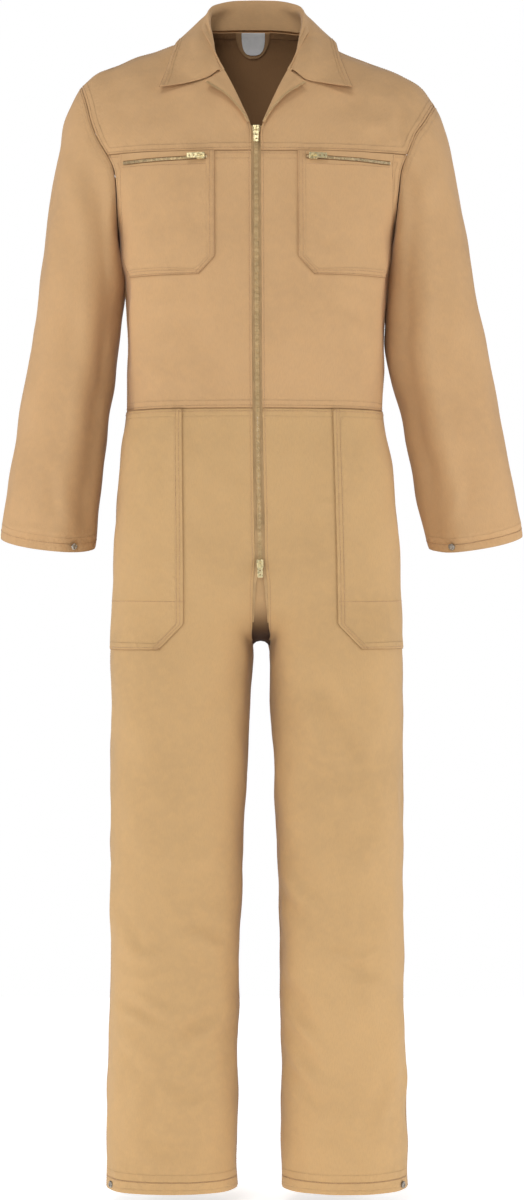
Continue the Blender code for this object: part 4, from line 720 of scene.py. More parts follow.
@dataclass(frozen=True)
class LegCut:
    """Trousers' fronts and backs: hips that part into two legs.

    Args:
        trunk: The trunk that they hang from.
    """

    trunk: Trunk

    def gap(self, z: float) -> float:
        """Half the gap between the legs."""
        return smooth(LEG_GAP, 1, z)

    def axis(self, side: Side, z: float) -> tuple[float, float]:
        """x and y of the middle of a leg."""
        outer = side * smooth(LEGS, 1, z)
        inner = middle(z) + side * self.gap(z)
        return (outer + inner) / 2, smooth(LEGS, 4, z)

    def section(self, side: Side, face: Face, share: float, z: float, width: float,
                roundness: float) -> tuple[float, float]:
        """x and y on one leg's rounded section.

        Args:
            side: The wearer's side.
            face: Front or back.
            share: From the side seam, 0, to the inseam, 1.
            z: Height of the section.
            width: Distance of the side seam from x = 0.
            roundness: How square the section is.

        Returns:
            x, and y from the middle of the leg.
        """
        outer, inner = side * width, middle(z) + side * self.gap(z)
        turned = math.cos(share * math.pi)
        along = math.copysign(abs(turned) ** (2 / roundness), turned)
        depth = smooth(LEGS, 2 if face < 0 else 3, z)
        return ((outer + inner) / 2 + (outer - inner) / 2 * along,
                face * depth * abs(math.sin(share * math.pi)) ** (2 / roundness))

    def hip_point(self, side: Side, face: Face, share: float, z_side: float,
                  turn: float) -> np.ndarray:
        """A point above the crotch.

        Args:
            side: The wearer's side.
            face: Front or back.
            share: From the side seam, 0, to the rise, 1.
            z_side: z of the row at the side seam.
            turn: Turn of the rise curve there, in degrees.

        Returns:
            The point.
        """
        z_inner = rise_z(turn) if turn > 0 else z_side
        closing = 1 - math.cos(math.radians(turn))
        z = mix(z_side, z_inner, share * share * (3 - 2 * share))
        centre = middle(z)
        width = self.trunk.half_width(side, z) if z > HIPS_END_Z else smooth(LEGS, 1, z)
        angle = (1 - share) * math.pi / 2
        hip_x = centre + (side * width - centre) * math.sin(angle) ** (2 / TRUNK_ROUNDNESS)
        depth = smooth(TRUNK, 3 if face < 0 else 4, z)
        hip_y = face * depth * math.cos(angle) ** (2 / TRUNK_ROUNDNESS)
        leg_x, leg_y = self.section(side, face, share, z, width, LEG_ROUNDNESS[-1][1])
        x = mix(hip_x, leg_x, closing)
        y = mix(hip_y, leg_y, closing) + smooth(LEGS, 4, z) * closing
        return folded((x, y, z), *self.axis(side, min(z, CROTCH_Z)))

    def leg_point(self, side: Side, face: Face, share: float, z: float) -> np.ndarray:
        """A point of a leg below the crotch, where each row is level."""
        x, y = self.section(side, face, share, z, smooth(LEGS, 1, z), linear(LEG_ROUNDNESS, z))
        return folded((x, y + smooth(LEGS, 4, z), z), *self.axis(side, z))

    def share_at(self, side: Side, face: Face, x: float, z_side: float, turn: float) -> float:
        """Share of the way from the side seam at which a row reaches an x."""
        return halve(0.0, 0.62, lambda share: abs(
            self.hip_point(side, face, share, z_side, turn)[0]) <= x, 36)

    def grid(self, side: Side, face: Face) -> np.ndarray:
        """A front or back of the trousers, waist to hem, side seam to rise and inseam."""
        hem = (HEM_Z + HEM_DEPTH, HEM_Z + HEM_DEPTH - HEM_STEP, HEM_Z)
        levels = [(WAIST_Z - SEAM_GAP / 2, 0), *HIP_ROWS, *((z, 90) for z in (*LEG_ROWS, *hem))]
        rows = []
        shares: list[float] = []
        for z_side, turn in levels:
            if z_side >= HIPS_END_Z:
                pocket_in = self.share_at(side, face, linear(HIP_POCKET_IN, z_side), z_side, turn)
                shares = [pocket_in * part for part in POCKET_SHARES]
                shares += [mix(pocket_in, 1.0, part) for part in RISE_SHARES]
                rows.append([self.hip_point(side, face, share, z_side, turn) for share in shares])
            else:
                rows.append([self.leg_point(side, face, share, z_side) for share in shares])
        grid = np.array(rows)
        grid[:, 0, 1] += face * SEAM_GAP / 2
        grid[:, -1, 0] += side * SEAM_GAP / 2
        grid[CROTCH_ROW:, -1, 1] += face * SEAM_GAP / 2
        table = FLY_EDGE if face < 0 else SEAT_EDGE
        for row in grid[:CROTCH_ROW + 1]:
            edge = linear(table, row[-1][2])
            for point in row:
                out = side * (point[0] - middle(point[2]))
                if out < FLY_REACH:
                    point[0] += side * edge * (1 - max(out, 0.0) / FLY_REACH)
        return grid


@dataclass(frozen=True)
class CollarCut:
    """The collar's sections and the turned-back facings below it.

    Args:
        trunk: The trunk it is sewn to.
        seam_lift: How far the collar's foot stands above the neck seam.
        front_end_z: z of the neckline's front end.
        roll_radius: Radius of the roll at the centre back and at the front end.
        bend_from: Share from which the fall's edge turns towards the notch.
    """

    trunk: Trunk
    seam_lift: float = 0.0020
    front_end_z: float = -0.048
    roll_radius: tuple[float, float] = (0.0032, 0.0018)
    bend_from: float = 0.72

    def neck_seam(self, side: Side, share: float) -> np.ndarray:
        """A point of the neckline, centre back, 0, to the collar's front end, 1."""
        trunk = self.trunk
        neck_z = trunk.shoulder_z(side * NECK_POINT_X)
        if share <= COLLAR_NECK_SHARE:
            x = side * NECK_POINT_X * math.sin(share / COLLAR_NECK_SHARE * math.pi / 2)
            z = mix(UNDERARM_Z, trunk.shoulder_z(x), min(trunk.neck_top(x), 1.0))
            return np.array((x, trunk.y(Face.BACK, x, z), z))
        drop = math.cos((share - COLLAR_NECK_SHARE) / (1 - COLLAR_NECK_SHARE) * math.pi / 2)
        z = mix(self.front_end_z, neck_z, drop)
        x = trunk.front_edge(side, z)
        return np.array((x, trunk.y(Face.FRONT, x, z), z))

    def clear(self, point: np.ndarray) -> np.ndarray:
        """Move a point of the collar's fall out of the trunk, the shortest way."""
        x, y, z = point
        if z > self.trunk.shoulder_z(x) + COLLAR_CLEARANCE:
            return np.array(point)
        face = Face.FRONT if y < self.trunk.shoulder_seam_y else Face.BACK
        limit_y = self.trunk.y(face, x, z) + face * COLLAR_CLEARANCE
        limit_z = self.trunk.top_z(x, y) + COLLAR_CLEARANCE
        if face * (y - limit_y) >= 0 or z >= limit_z:
            return np.array(point)
        if limit_z - z < abs(limit_y - y):
            return np.array((x, y, limit_z))
        return np.array((x, limit_y, z))

    def section(self, side: Side, share: float) -> list[np.ndarray]:
        """One section of the collar: stand, roll and fall."""
        roll = np.array([smooth(COLLAR, column, share) for column in (1, 2, 3)])
        edge = np.array([smooth(COLLAR, column, share) for column in (4, 5, 6)])
        roll[0] = middle(0.0) + side * roll[0]
        edge[0] = middle(0.0) + side * edge[0]
        base = self.neck_seam(side, share)
        base[2] += self.seam_lift
        fall = edge - roll
        away = np.array((fall[0], fall[1], 0.0))
        away /= np.linalg.norm(away)
        radius = mix(*self.roll_radius, share)
        height = roll[2] - base[2]
        inner = roll - np.array((0.0, 0.0, min(0.006, max(height, 0.003) * 0.5)))
        crest = roll + away * radius
        crest[2] = roll[2] + radius * 0.5
        outer = roll + away * 2 * radius
        outer[2] = inner[2] + radius
        bend = max(0.0, (share - self.bend_from) / (1 - self.bend_from)) ** 2
        section = [base, base + (roll - base) * 0.5, inner, crest, outer]
        notch = np.array((middle(0.0) + side * NOTCH[0], 0.0, NOTCH[1]))
        for fraction, toward in ((0.28, 0.5), (0.52, 1.0), (0.76, 1.5)):
            point = mix(outer, edge, fraction)
            cornered = mix(outer, notch, toward) if toward <= 1.0 else mix(notch, edge, 0.5)
            point[0] = mix(point[0], cornered[0], bend)
            point[2] = mix(point[2], cornered[2], bend)
            section.append(self.clear(point))
        section.append(self.clear(edge))
        return section

    def grid(self) -> np.ndarray:
        """The collar, from its right front end round the neck to its left one."""
        shares = [i / COLLAR_SECTIONS for i in range(COLLAR_SECTIONS + 1)]
        sections = [self.section(Side.RIGHT, share) for share in reversed(shares)]
        return np.array(sections + [self.section(Side.LEFT, share) for share in shares[1:]])

    def facing(self, side: Side) -> np.ndarray:
        """The front's facing, turned back from the roll line above the zip's slider."""
        rows = []
        for roll_z, outer_x, outer_z, lift in TURN_BACK:
            roll_x = self.trunk.front_edge(side, roll_z)
            end_x = middle(outer_z) + side * outer_x
            row = []
            for share in TURN_BACK_COLUMNS:
                x = mix(roll_x, end_x, share)
                z = mix(roll_z, outer_z, share)
                rise = mix(ROLL_LIFT, lift, math.sin(share * math.pi / 2))
                row.append((x, self.trunk.y(Face.FRONT, x, z) - rise, z))
            rows.append(row)
        return np.array(rows)


@dataclass(frozen=True)
class ZipCut:
    """The front zip's line between the two sliders.

    Args:
        trunk: The trunk it closes.
        tape_out: Distances of a tape's outer columns from the middle.
    """

    trunk: Trunk
    tape_out: tuple[float, float] = (0.0112, 0.0150)

    def levels(self) -> list[float]:
        """Heights of the zip's rows."""
        levels = [SLIDER_TOP_Z + 0.002, YOKE_SEAM_Z, POCKET_TOP_Z, *reversed(UNDERARM_ROWS),
                  UNDERARM_Z, *reversed(FRONT_ROWS), WAIST_Z]
        return levels + [row[0] for row in HIP_ROWS if row[0] >= RISE_START_Z]

    def point(self, offset: float, z: float) -> np.ndarray:
        """A point of the fronts' surface near the zip."""
        point = self.trunk.point(Face.FRONT, middle(z) + offset, z)
        if z < RISE_START_Z:
            turn = math.asin(min((RISE_START_Z - z) / (RISE_START_Z - CROTCH_Z), 1.0))
            point[1] *= math.cos(turn)
        return point

    def tape(self, side: Side) -> np.ndarray:
        """One side's tape, on the fronts' surface; the piece lies behind it."""
        rows = []
        for z in (*self.levels(), *FLY_ROWS):
            inner = linear(TAPE_OPENING, z)
            rows.append([self.point(side * offset, z) for offset in (inner, *self.tape_out)])
        return np.array(rows)


# -------------------- surfaces

@dataclass(frozen=True)
class Crease:
    """A soft ridge in the cloth with a trough on each side.

    Args:
        face: The side of the garment it shows on.
        path: x and z of points along the crest.
        width: Half width of the ridge.
        height: How far the crest stands out; below 0 it is a trough.
        facing: Gain and start of the fade towards cloth that faces another way.
    """

    face: Face
    path: np.ndarray
    width: float
    height: float
    facing: tuple[float, float] = (1.6, 0.25)

    @classmethod
    def of(cls, face: Face, row: Sequence[int]) -> "Crease":
        """A crease from its row in the list of creases."""
        width, height, *place = row
        return cls(face, np.array(place).reshape(-1, 2) / 1000, width / 10000, height / 10000)

    def lift(self, points: np.ndarray, normals: np.ndarray) -> np.ndarray:
        """Lift of each point, less where the cloth faces away from the crease's side."""
        gain, start = self.facing
        facing = np.clip(normals[:, 1] * self.face * gain + start, 0.0, 1.0)
        path, place = self.path, points[:, [0, 2]]
        starts = running(gaps(path))
        best = np.full(len(points), 1e9)
        share = np.zeros(len(points))
        for i, length in enumerate(gaps(path)):
            along = path[i + 1] - path[i]
            t = np.clip(((place - path[i]) @ along) / length ** 2, 0.0, 1.0)
            away = np.linalg.norm(place - path[i] - t[:, None] * along, axis=1)
            share = np.where(away < best, (starts[i] + t * length) / starts[-1], share)
            best = np.minimum(best, away)
        taper = np.sin(np.clip(share * 0.96 + 0.02, 0.0, 1.0) * math.pi) ** 0.7
        return self.height * ridge(best / self.width, 0.4, 1.8, 0.6) * taper * facing


@dataclass(frozen=True)
class Ripples:
    """Small unevenness of cloth that has been worn and hung.

    Args:
        height: Height of one wave.
        wavelengths: Shortest and longest wave.
        count: How many waves are added up.
        seed: Seed of their directions.
    """

    height: float = 0.00026
    wavelengths: tuple[float, float] = (0.035, 0.110)
    count: int = 14
    seed: int = 11

    def lift(self, points: np.ndarray) -> np.ndarray:
        """Lift of each point."""
        rng = np.random.default_rng(self.seed)
        total = np.zeros(len(points))
        for _ in range(self.count):
            direction = rng.normal(size=3) * (1.0, 1.0, 0.8)
            direction /= np.linalg.norm(direction)
            wave = 2 * math.pi / rng.uniform(*self.wavelengths)
            total += np.sin(points @ direction * wave + rng.uniform(0.0, 2 * math.pi))
        return total * self.height


@dataclass(frozen=True)
class Creasing:
    """All the creases of the garment, none of them close to the armholes' fronts.

    Args:
        creases: The creases.
        ripples: The small unevenness everywhere.
        calm: |x| and z of the place where front and sleeve have to stay together.
        calm_radius: Distance from it at which the creases begin.
        calm_fade: Distance over which they grow to their full height.
    """

    creases: tuple[Crease, ...]
    ripples: Ripples = Ripples()
    calm: tuple[float, float] = (0.183, -0.235)
    calm_radius: float = 0.008
    calm_fade: float = 0.014

    def lift(self, points: np.ndarray, normals: np.ndarray) -> np.ndarray:
        """Lift of each point along its normal."""
        total = self.ripples.lift(points)
        for crease in self.creases:
            total += crease.lift(points, normals)
        away = np.hypot(np.abs(points[:, 0]) - self.calm[0], (points[:, 2] - self.calm[1]) / 4)
        return total * np.clip((away - self.calm_radius) / self.calm_fade, 0.0, 1.0)


def grid_normals(points: np.ndarray, wraps: bool, outward: Sequence[float] | None) -> np.ndarray:
    """Unit normals of a grid of points.

    Args:
        points: Rows and columns of points.
        wraps: Whether the last column is followed by the first.
        outward: A direction on the outside, or None for away from each row's middle.

    Returns:
        A normal for each point.
    """
    wide = points
    if wraps:
        wide = np.concatenate((points[:, -1:], points, points[:, :1]), axis=1)
    across = np.gradient(wide, axis=1)
    normals = np.cross(np.gradient(points, axis=0), across[:, 1:-1] if wraps else across)
    normals /= np.maximum(np.linalg.norm(normals, axis=2, keepdims=True), 1e-12)
    away = points - points.mean(axis=1, keepdims=True) if outward is None else np.array(outward)
    return normals * np.sign((normals * away).sum())


@dataclass
class Surface:
    """The outside of a cut piece as a fine grid of points.

    Args:
        points: Rows and columns of points.
        normals: Outward unit normals.
        pattern: Place of each point on the flat cloth, in metres.
        rows: Fine index of each of the cut's own rows.
        columns: Fine index of each of the cut's own columns.
        wraps: Whether the last column is followed by the first.
    """

    points: np.ndarray
    normals: np.ndarray
    pattern: np.ndarray
    rows: list[int]
    columns: list[int]
    wraps: bool = False

    @classmethod
    def refined(cls, grid: np.ndarray, outward: Sequence[float] | None = None,
                wraps: bool = False, step: float = 0.0045) -> "Surface":
        """Refine a cut's grid on a smooth surface through its points.

        Args:
            grid: The cut's rows and columns.
            outward: A direction on the outside.
            wraps: Whether each row is a closed ring.
            step: Size of the new cells.

        Returns:
            The fine surface; the cut's rows and columns keep their places in it.
        """
        padding = 2 if wraps else 0
        fine, marks = grid, []
        if wraps:
            fine = np.concatenate((grid[:, -padding:], grid, grid[:, :padding + 1]), axis=1)
        for axis in (0, 1):
            lengths = np.maximum(gaps(fine, axis).mean(axis=1 - axis), 2e-4)
            knots = running(lengths)
            at, mark = [0.0], [0]
            for i, length in enumerate(lengths):
                count = max(1, math.ceil(length / step))
                at += [knots[i] + length * (k + 1) / count for k in range(count)]
                mark.append(len(at) - 1)
            values = fine if axis == 0 else fine.transpose(1, 0, 2)
            values = hermite(values, knots, np.array(at))
            fine = values if axis == 0 else values.transpose(1, 0, 2)
            marks.append(mark)
        rows, columns = marks
        if wraps:
            start, stop = columns[padding], columns[padding + grid.shape[1]]
            fine = fine[:, start:stop]
            columns = [column - start for column in columns[padding:padding + grid.shape[1]]]
        along = running(gaps(fine, 0).mean(axis=1))
        across = np.zeros(fine.shape[:2])
        across[:, 1:] = np.cumsum(gaps(fine, 1), axis=1)
        across -= across[:, across.shape[1] // 2][:, None]
        pattern = np.stack((across, np.broadcast_to(-along[:, None], across.shape)), axis=2)
        return cls(fine, grid_normals(fine, wraps, outward), pattern, rows, columns, wraps)

    @classmethod
    def of_layers(cls, layers: np.ndarray, rows: list[int], columns: list[int]) -> "Surface":
        """The surface that a stack of layers holds."""
        return cls(layers[..., :3], layers[..., 3:6], layers[..., 6:], rows, columns)

    @property
    def layers(self) -> np.ndarray:
        """Points, normals and places on the flat cloth, side by side."""
        return np.concatenate((self.points, self.normals, self.pattern), axis=2)

    def moved(self, points: np.ndarray) -> "Surface":
        """The surface with its points moved and its normals turned with them."""
        normals = grid_normals(points, self.wraps, None)
        normals *= np.sign((normals * self.normals).sum())
        return Surface(points, normals, self.pattern, self.rows, self.columns, self.wraps)

    def creased(self, creasing: Creasing) -> "Surface":
        """The surface with its creases."""
        flat, up = self.points.reshape(-1, 3), self.normals.reshape(-1, 3)
        lifted = flat + up * creasing.lift(flat, up)[:, None]
        return self.moved(lifted.reshape(self.points.shape))

    def relaxed(self, row: int, reach: float = 0.085, passes: int = 160) -> "Surface":
        """The surface with the cloth near one row evened out, except towards its last column.

        Args:
            row: The cut's row.
            reach: How far from that row the cloth is evened out.
            passes: How often each point is moved towards its neighbours.

        Returns:
            The evened surface.
        """
        points = self.points.copy()
        down = running(gaps(points, 0).mean(axis=1))
        near = np.clip(1.3 * (1.0 - np.abs(down - down[self.rows[row]]) / reach), 0.0, 1.0)
        inner = np.clip((0.98 - np.linspace(0.0, 1.0, points.shape[1])) / 0.38, 0.0, 1.0)
        weight = (near[:, None] * inner)[1:-1, :, None] / 2
        for _ in range(passes):
            points[1:-1] += ((points[:-2] + points[2:]) / 2 - points[1:-1]) * weight
        return self.moved(points)

    def crossing(self, table: Table) -> np.ndarray:
        """Where each row's distance from the garment's middle passes the table's value."""
        found = np.full(len(self.points), self.points.shape[1] - 1.0)
        for i, row in enumerate(self.points):
            past = [abs(x - middle(z)) - linear(table, z) for x, _, z in row]
            for j in range(1, len(past)):
                if past[j - 1] * past[j] <= 0:
                    found[i] = j - past[j] / (past[j] - past[j - 1])
                    break
        return found

    def between(self, rows: tuple[int, int], starts: np.ndarray, stops: np.ndarray,
                columns: list[int]) -> "Surface":
        """The part between two rows with an outline of its own.

        Args:
            rows: First and last row of the cut.
            starts: Fine column at which the part starts in each fine row.
            stops: Fine column at which it ends.
            columns: Fine indices of its own columns.

        Returns:
            That part as a surface of its own.
        """
        top, bottom = self.rows[rows[0]], self.rows[rows[1]]
        layers, every = self.layers, np.arange(self.points.shape[1])
        made = [read(np.linspace(starts[i], stops[i], columns[-1] + 1), every, layers[i])
                for i in range(top, bottom + 1)]
        marks = [row - top for row in self.rows[rows[0]:rows[1] + 1]]
        return Surface.of_layers(np.array(made), marks, columns)

    def cut(self, rows: tuple[int, int], columns: tuple[int, int]) -> "Surface":
        """The part between two of the cut's rows and two of its columns.

        Args:
            rows: First and last row of the cut.
            columns: First and last column of the cut.

        Returns:
            That part as a surface of its own.
        """
        marks = self.rows[rows[0]:rows[1] + 1], self.columns[columns[0]:columns[1] + 1]
        (top, bottom), (left, right) = ((mark[0], mark[-1]) for mark in marks)
        return Surface.of_layers(self.layers[top:bottom + 1, left:right + 1],
                                 [row - top for row in marks[0]],
                                 [column - left for column in marks[1]])

    def line(self, row: int | None = None, column: int = 0, inset: float = 0.0,
             trim: tuple[int, int] | None = None, lift: float = 0.0) -> np.ndarray:
        """A line along one of the cut's rows or columns, for stitches.

        Args:
            row: The cut's row.
            column: The cut's column, where row is None.
            inset: Distance to the row or column, towards the piece's middle.
            trim: First and last of the cut's columns or rows along the line.
            lift: Height above the cloth.

        Returns:
            Points along the line and their normals, side by side.
        """
        points, normals, others = self.points, self.normals, self.columns
        if row is None:
            points, normals, others = (points.transpose(1, 0, 2), normals.transpose(1, 0, 2),
                                       self.rows)
        index = self.columns[column] if row is None else self.rows[row]
        toward = 1 if index < len(points) / 2 else -1
        line, up = points[index].copy(), normals[index].copy()
        left = np.full(len(line), inset)
        done = left <= 0
        while not done.all() and 0 <= index + toward < len(points):
            step = points[index + toward] - points[index]
            length = np.maximum(np.linalg.norm(step, axis=1), 1e-9)
            share = np.clip(left / length, 0.0, 1.0)[:, None]
            line = np.where(done[:, None], line, points[index] + step * share)
            up = np.where(done[:, None], up, mix(normals[index], normals[index + toward], share))
            left = left - length
            done = done | (left <= 0)
            index += toward
        path = np.concatenate((line + up * lift, up), axis=1)
        if trim:
            first, last = sorted((others[trim[0]], others[trim[1]]))
            path = path[first:last + 1]
        return path


# -------------------- finishes

Colour = tuple[float, float, float]
Socket = bpy.types.NodeSocket
Inputs = dict[str | int, object]
WAVE_SCALE = 0.3142  # a wave texture's scale times the distance between its bands


def linear_rgb(red: int, green: int, blue: int) -> Colour:
    """A display colour, 0 to 255, as linear light."""
    return tuple(((c / 255 + 0.055) / 1.055) ** 2.4 if c > 10 else c / 3294.6
                 for c in (red, green, blue))


class NodeTree:
    """A short way to write a node tree.

    Args:
        tree: The tree to fill.
    """

    def __init__(self, tree: bpy.types.NodeTree) -> None:
        self.tree = tree

    def add(self, kind: str, inputs: Inputs | None = None,
            **settings: object) -> bpy.types.Node:
        """Add a node.

        Args:
            kind: The node's type name.
            inputs: Value, or a socket to link from, for each input.
            **settings: Properties of the node.

        Returns:
            The node.
        """
        node = self.tree.nodes.new(kind)
        for key, value in settings.items():
            setattr(node, key, value)
        self.feed(node, inputs or {})
        return node

    def feed(self, node: bpy.types.Node, inputs: Inputs) -> None:
        """Set or link inputs of a node."""
        for key, value in inputs.items():
            if isinstance(value, bpy.types.Node):
                value = value.outputs[0]
            if isinstance(value, Socket):
                self.tree.links.new(value, node.inputs[key])
            else:
                node.inputs[key].default_value = value

    def place(self) -> Socket:
        """Where a point is on the object."""
        return self.add("ShaderNodeTexCoord").outputs["Object"]

    def maths(self, operation: str, *values: object) -> bpy.types.Node:
        """A maths node on one to three values."""
        return self.add("ShaderNodeMath", dict(enumerate(values)), operation=operation)

    def product(self, *values: object) -> bpy.types.Node:
        """Two values multiplied."""
        return self.maths("MULTIPLY", *values)

    def ramp(self, value: object, start: float, end: float, low: float = 0.0,
             high: float = 1.0) -> bpy.types.Node:
        """Map a value smoothly from one range to another."""
        return self.add("ShaderNodeMapRange", {0: value, 1: start, 2: end, 3: low, 4: high},
                        interpolation_type="SMOOTHSTEP")

    def noise(self, place: object, size: float, detail: float = 3.0) -> bpy.types.Node:
        """Noise whose lumps have a size in metres."""
        return self.add("ShaderNodeTexNoise", {"Vector": place, "Scale": 1 / size,
                                               "Detail": detail})

    def bands(self, place: object, spacing: float, direction: str,
              inputs: dict[str, float]) -> Socket:
        """Even bands with a distance in metres."""
        node = self.add("ShaderNodeTexWave", {"Vector": place, "Scale": WAVE_SCALE / spacing,
                                              **inputs}, bands_direction=direction)
        return node.outputs["Fac"]

    def bump(self, height: object, distance: float, strength: float = 1.0) -> bpy.types.Node:
        """A bump from a height."""
        return self.add("ShaderNodeBump", {"Strength": strength, "Distance": distance,
                                           "Height": height})

    def tint(self, colour: object, factor: object, other: object) -> Socket:
        """Mix two colours."""
        return self.add("ShaderNodeMix", {0: factor, 6: colour, 7: other},
                        data_type="RGBA").outputs[2]


def new_material(name: str) -> tuple[bpy.types.Material, NodeTree, bpy.types.Node]:
    """An empty material with its tree and its shader."""
    material = bpy.data.materials.new(name)
    material.use_nodes = True
    material.node_tree.nodes.clear()
    tree = NodeTree(material.node_tree)
    shader = tree.add("ShaderNodeBsdfPrincipled")
    tree.add("ShaderNodeOutputMaterial", {0: shader})
    return material, tree, shader


@dataclass(frozen=True)
class Finish(ABC):
    """A finish made of nodes.

    Args:
        name: The material's name.
        colour: Its colour in linear light.
    """

    name: str
    colour: Colour

    def tone(self, red: float, green: float | None = None,
             blue: float | None = None) -> tuple[float, ...]:
        """The colour made darker or lighter, by one factor or by one for each channel."""
        factors = (red, red if green is None else green, red if blue is None else blue)
        return tuple(c * f for c, f in zip(self.colour, factors)) + (1.0,)

    @abstractmethod
    def inputs(self, tree: NodeTree, place: Socket) -> Inputs:
        """The shader's inputs; each kind of finish has its own."""

    def make(self) -> bpy.types.Material:
        """The material."""
        material, tree, shader = new_material(self.name)
        tree.feed(shader, self.inputs(tree, tree.place()))
        return material


@dataclass(frozen=True)
class Twill(Finish):
    """Woven twill with a diagonal rib, some unevenness and stitched seams.

    Args:
        shade: How much darker its low spots are.
        rib: Distance between the weave's diagonal ribs.
        roughness: Roughness of the surface.
        sheen: Weight of the nap's sheen.
        band: Width of the doubled cloth beside a seam.
        painted_shade: Heights between which it turns from dark to its own colour, if it does.
    """

    shade: float = 0.90
    rib: float = 0.0009
    roughness: float = 0.86
    sheen: float = 0.12
    band: float = 0.0092
    painted_shade: tuple[float, float] | None = None

    def inputs(self, tree: NodeTree, place: Socket) -> Inputs:
        """The shader's inputs."""
        pattern = tree.add("ShaderNodeUVMap", uv_map="pattern").outputs[0]
        edge = tree.add("ShaderNodeAttribute", attribute_name="edge").outputs["Fac"]
        ribs = tree.bands(pattern, self.rib, "DIAGONAL",
                          {"Distortion": 0.6, "Detail": 1.0, "Detail Scale": 2.0})
        return {
            "Base Color": self.shades(tree, place, pattern, edge, ribs),
            "Normal": tree.bump(self.relief(tree, place, edge, ribs), 1.0),
            "Roughness": self.roughness, "Specular IOR Level": 0.18,
            "Sheen Weight": self.sheen, "Sheen Roughness": 0.45}

    def shades(self, tree: NodeTree, place: object, pattern: object, edge: object,
               ribs: object) -> Socket:
        """The cloth's colour: blotches, fibres, ribs, painted shade at seams and past a band's
        edge.

        Args:
            tree: The tree to add to.
            place: Where a point is on the object.
            pattern: Where a point is on the flat cloth.
            edge: Distance to the nearest stitched edge.
            ribs: Height of the weave's ribs.

        Returns:
            The colour.
        """
        blotches = tree.ramp(tree.noise(place, 0.16, 4.0), 0.35, 0.68)
        mottle = tree.ramp(tree.noise(place, 0.012, 5.0), 0.30, 0.75)
        along = tree.add("ShaderNodeMapping", {"Vector": pattern, "Rotation": (0.0, 0.0, 0.72),
                                               "Scale": (1.0, 0.16, 1.0)})
        fibres = tree.noise(along, 0.0011, 2.0)
        # painted shadow just past the edge of the doubled band beside a seam
        lip = tree.product(tree.ramp(edge, self.band - 0.0002, self.band + 0.0010),
                           tree.ramp(edge, self.band + 0.0012, self.band + 0.0042, 1.0, 0.0))
        colour = self.tone(1.0)
        for factor, other in (
                (blotches, self.tone(self.shade)),
                (tree.product(mottle, 0.5), self.tone(1.05, 1.02, 0.97)),
                (tree.ramp(fibres, 0.35, 0.75, 0.0, 0.30), self.tone(0.80)),
                (tree.ramp(ribs, 0.15, 0.75, 0.16, 0.0), self.tone(0.62)),
                # painted shade in the ditch along each stitched edge
                (tree.ramp(edge, 0.0002, 0.0014, 0.52, 0.0), self.tone(0.42, 0.33, 0.26)),
                (tree.product(lip, 0.12), self.tone(0.55))):
            colour = tree.tint(colour, factor, other)
        # Painted shade: towards the bottom, below the given heights, the colour darkens to near
        # black, standing in for the shade in the recess at the crotch.
        if self.painted_shade:
            level = tree.add("ShaderNodeSeparateXYZ", {0: place}).outputs[2]
            colour = tree.tint(colour, tree.ramp(level, *self.painted_shade, 0.94, 0.0),
                               (0.030, 0.008, 0.003, 1.0))
        return colour

    def relief(self, tree: NodeTree, place: object, edge: object,
               ribs: object) -> bpy.types.Node:
        """The cloth's height: ribs, the doubled band, pucker beside seams and soft waves.

        Args:
            tree: The tree to add to.
            place: Where a point is on the object.
            edge: Distance to the nearest stitched edge.
            ribs: Height of the weave's ribs.

        Returns:
            The height in metres.
        """
        pucker = tree.product(tree.noise(place, 0.0085, 2.0), tree.ramp(edge, 0.004, 0.030,
                                                                        1.0, 0.0))
        height = tree.product(ribs, 0.00006)
        for part, size in (
                (tree.ramp(edge, self.band, self.band + 0.0016, 1.0, 0.0), 0.0006),
                (pucker, 0.0019), (tree.noise(place, 0.045, 3.0), 0.0022),
                (tree.ramp(edge, 0.0, 0.0012), 0.0005)):
            height = tree.maths("ADD", height, tree.product(part, size))
        return height


@dataclass(frozen=True)
class Tape(Finish):
    """Close woven zip tape with a fine rib across it.

    Args:
        rib: Distance between ribs.
    """

    rib: float = 0.0006

    def inputs(self, tree: NodeTree, place: Socket) -> Inputs:
        """The shader's inputs."""
        ribs = tree.bands(place, self.rib, "Z", {"Distortion": 0.4})
        uneven = tree.ramp(tree.noise(place, 0.02, 4.0), 0.3, 0.7)
        dark = self.tone(0.72)
        colour = tree.tint(self.tone(1.0), tree.product(uneven, 0.6), dark)
        return {"Base Color": tree.tint(colour, tree.ramp(ribs, 0.2, 0.8, 0.35, 0.0), dark),
                "Normal": tree.bump(ribs, 0.0002), "Roughness": 0.72,
                "Specular IOR Level": 0.25}


@dataclass(frozen=True)
class Thread(Finish):
    """Sewing thread: two plies twisted together."""

    def inputs(self, tree: NodeTree, place: Socket) -> Inputs:
        """The shader's inputs."""
        twist = tree.ramp(tree.noise(place, 0.0006, 1.0), 0.4, 0.6)
        fade = tree.ramp(tree.noise(place, 0.08, 2.0), 0.35, 0.7, 0.0, 0.35)
        dark = self.tone(0.66)
        colour = tree.tint(tree.tint(self.tone(1.0), twist, dark), fade, dark)
        return {"Base Color": colour, "Roughness": 0.60, "Sheen Weight": 0.2}


@dataclass(frozen=True)
class Metal(Finish):
    """Metal with fine brushing and slightly dulled hollows.

    Args:
        roughness: Roughness of its clean parts.
        dulling: How much darker the dulled parts are.
    """

    roughness: float = 0.30
    dulling: float = 0.62

    def inputs(self, tree: NodeTree, place: Socket) -> Inputs:
        """The shader's inputs."""
        dull = tree.ramp(tree.noise(place, 0.0035, 5.0), 0.35, 0.70)
        along = tree.add("ShaderNodeMapping", {"Vector": place, "Scale": (1.0, 1.0, 0.08)})
        rough = tree.ramp(dull, 0.0, 1.0, self.roughness, self.roughness + 0.18)
        return {"Base Color": tree.tint(self.tone(1.0), dull, self.tone(self.dulling)),
                "Roughness": rough, "Metallic": 1.0,
                "Normal": tree.bump(tree.noise(along, 0.0004, 3.0), 0.0001, 0.25)}


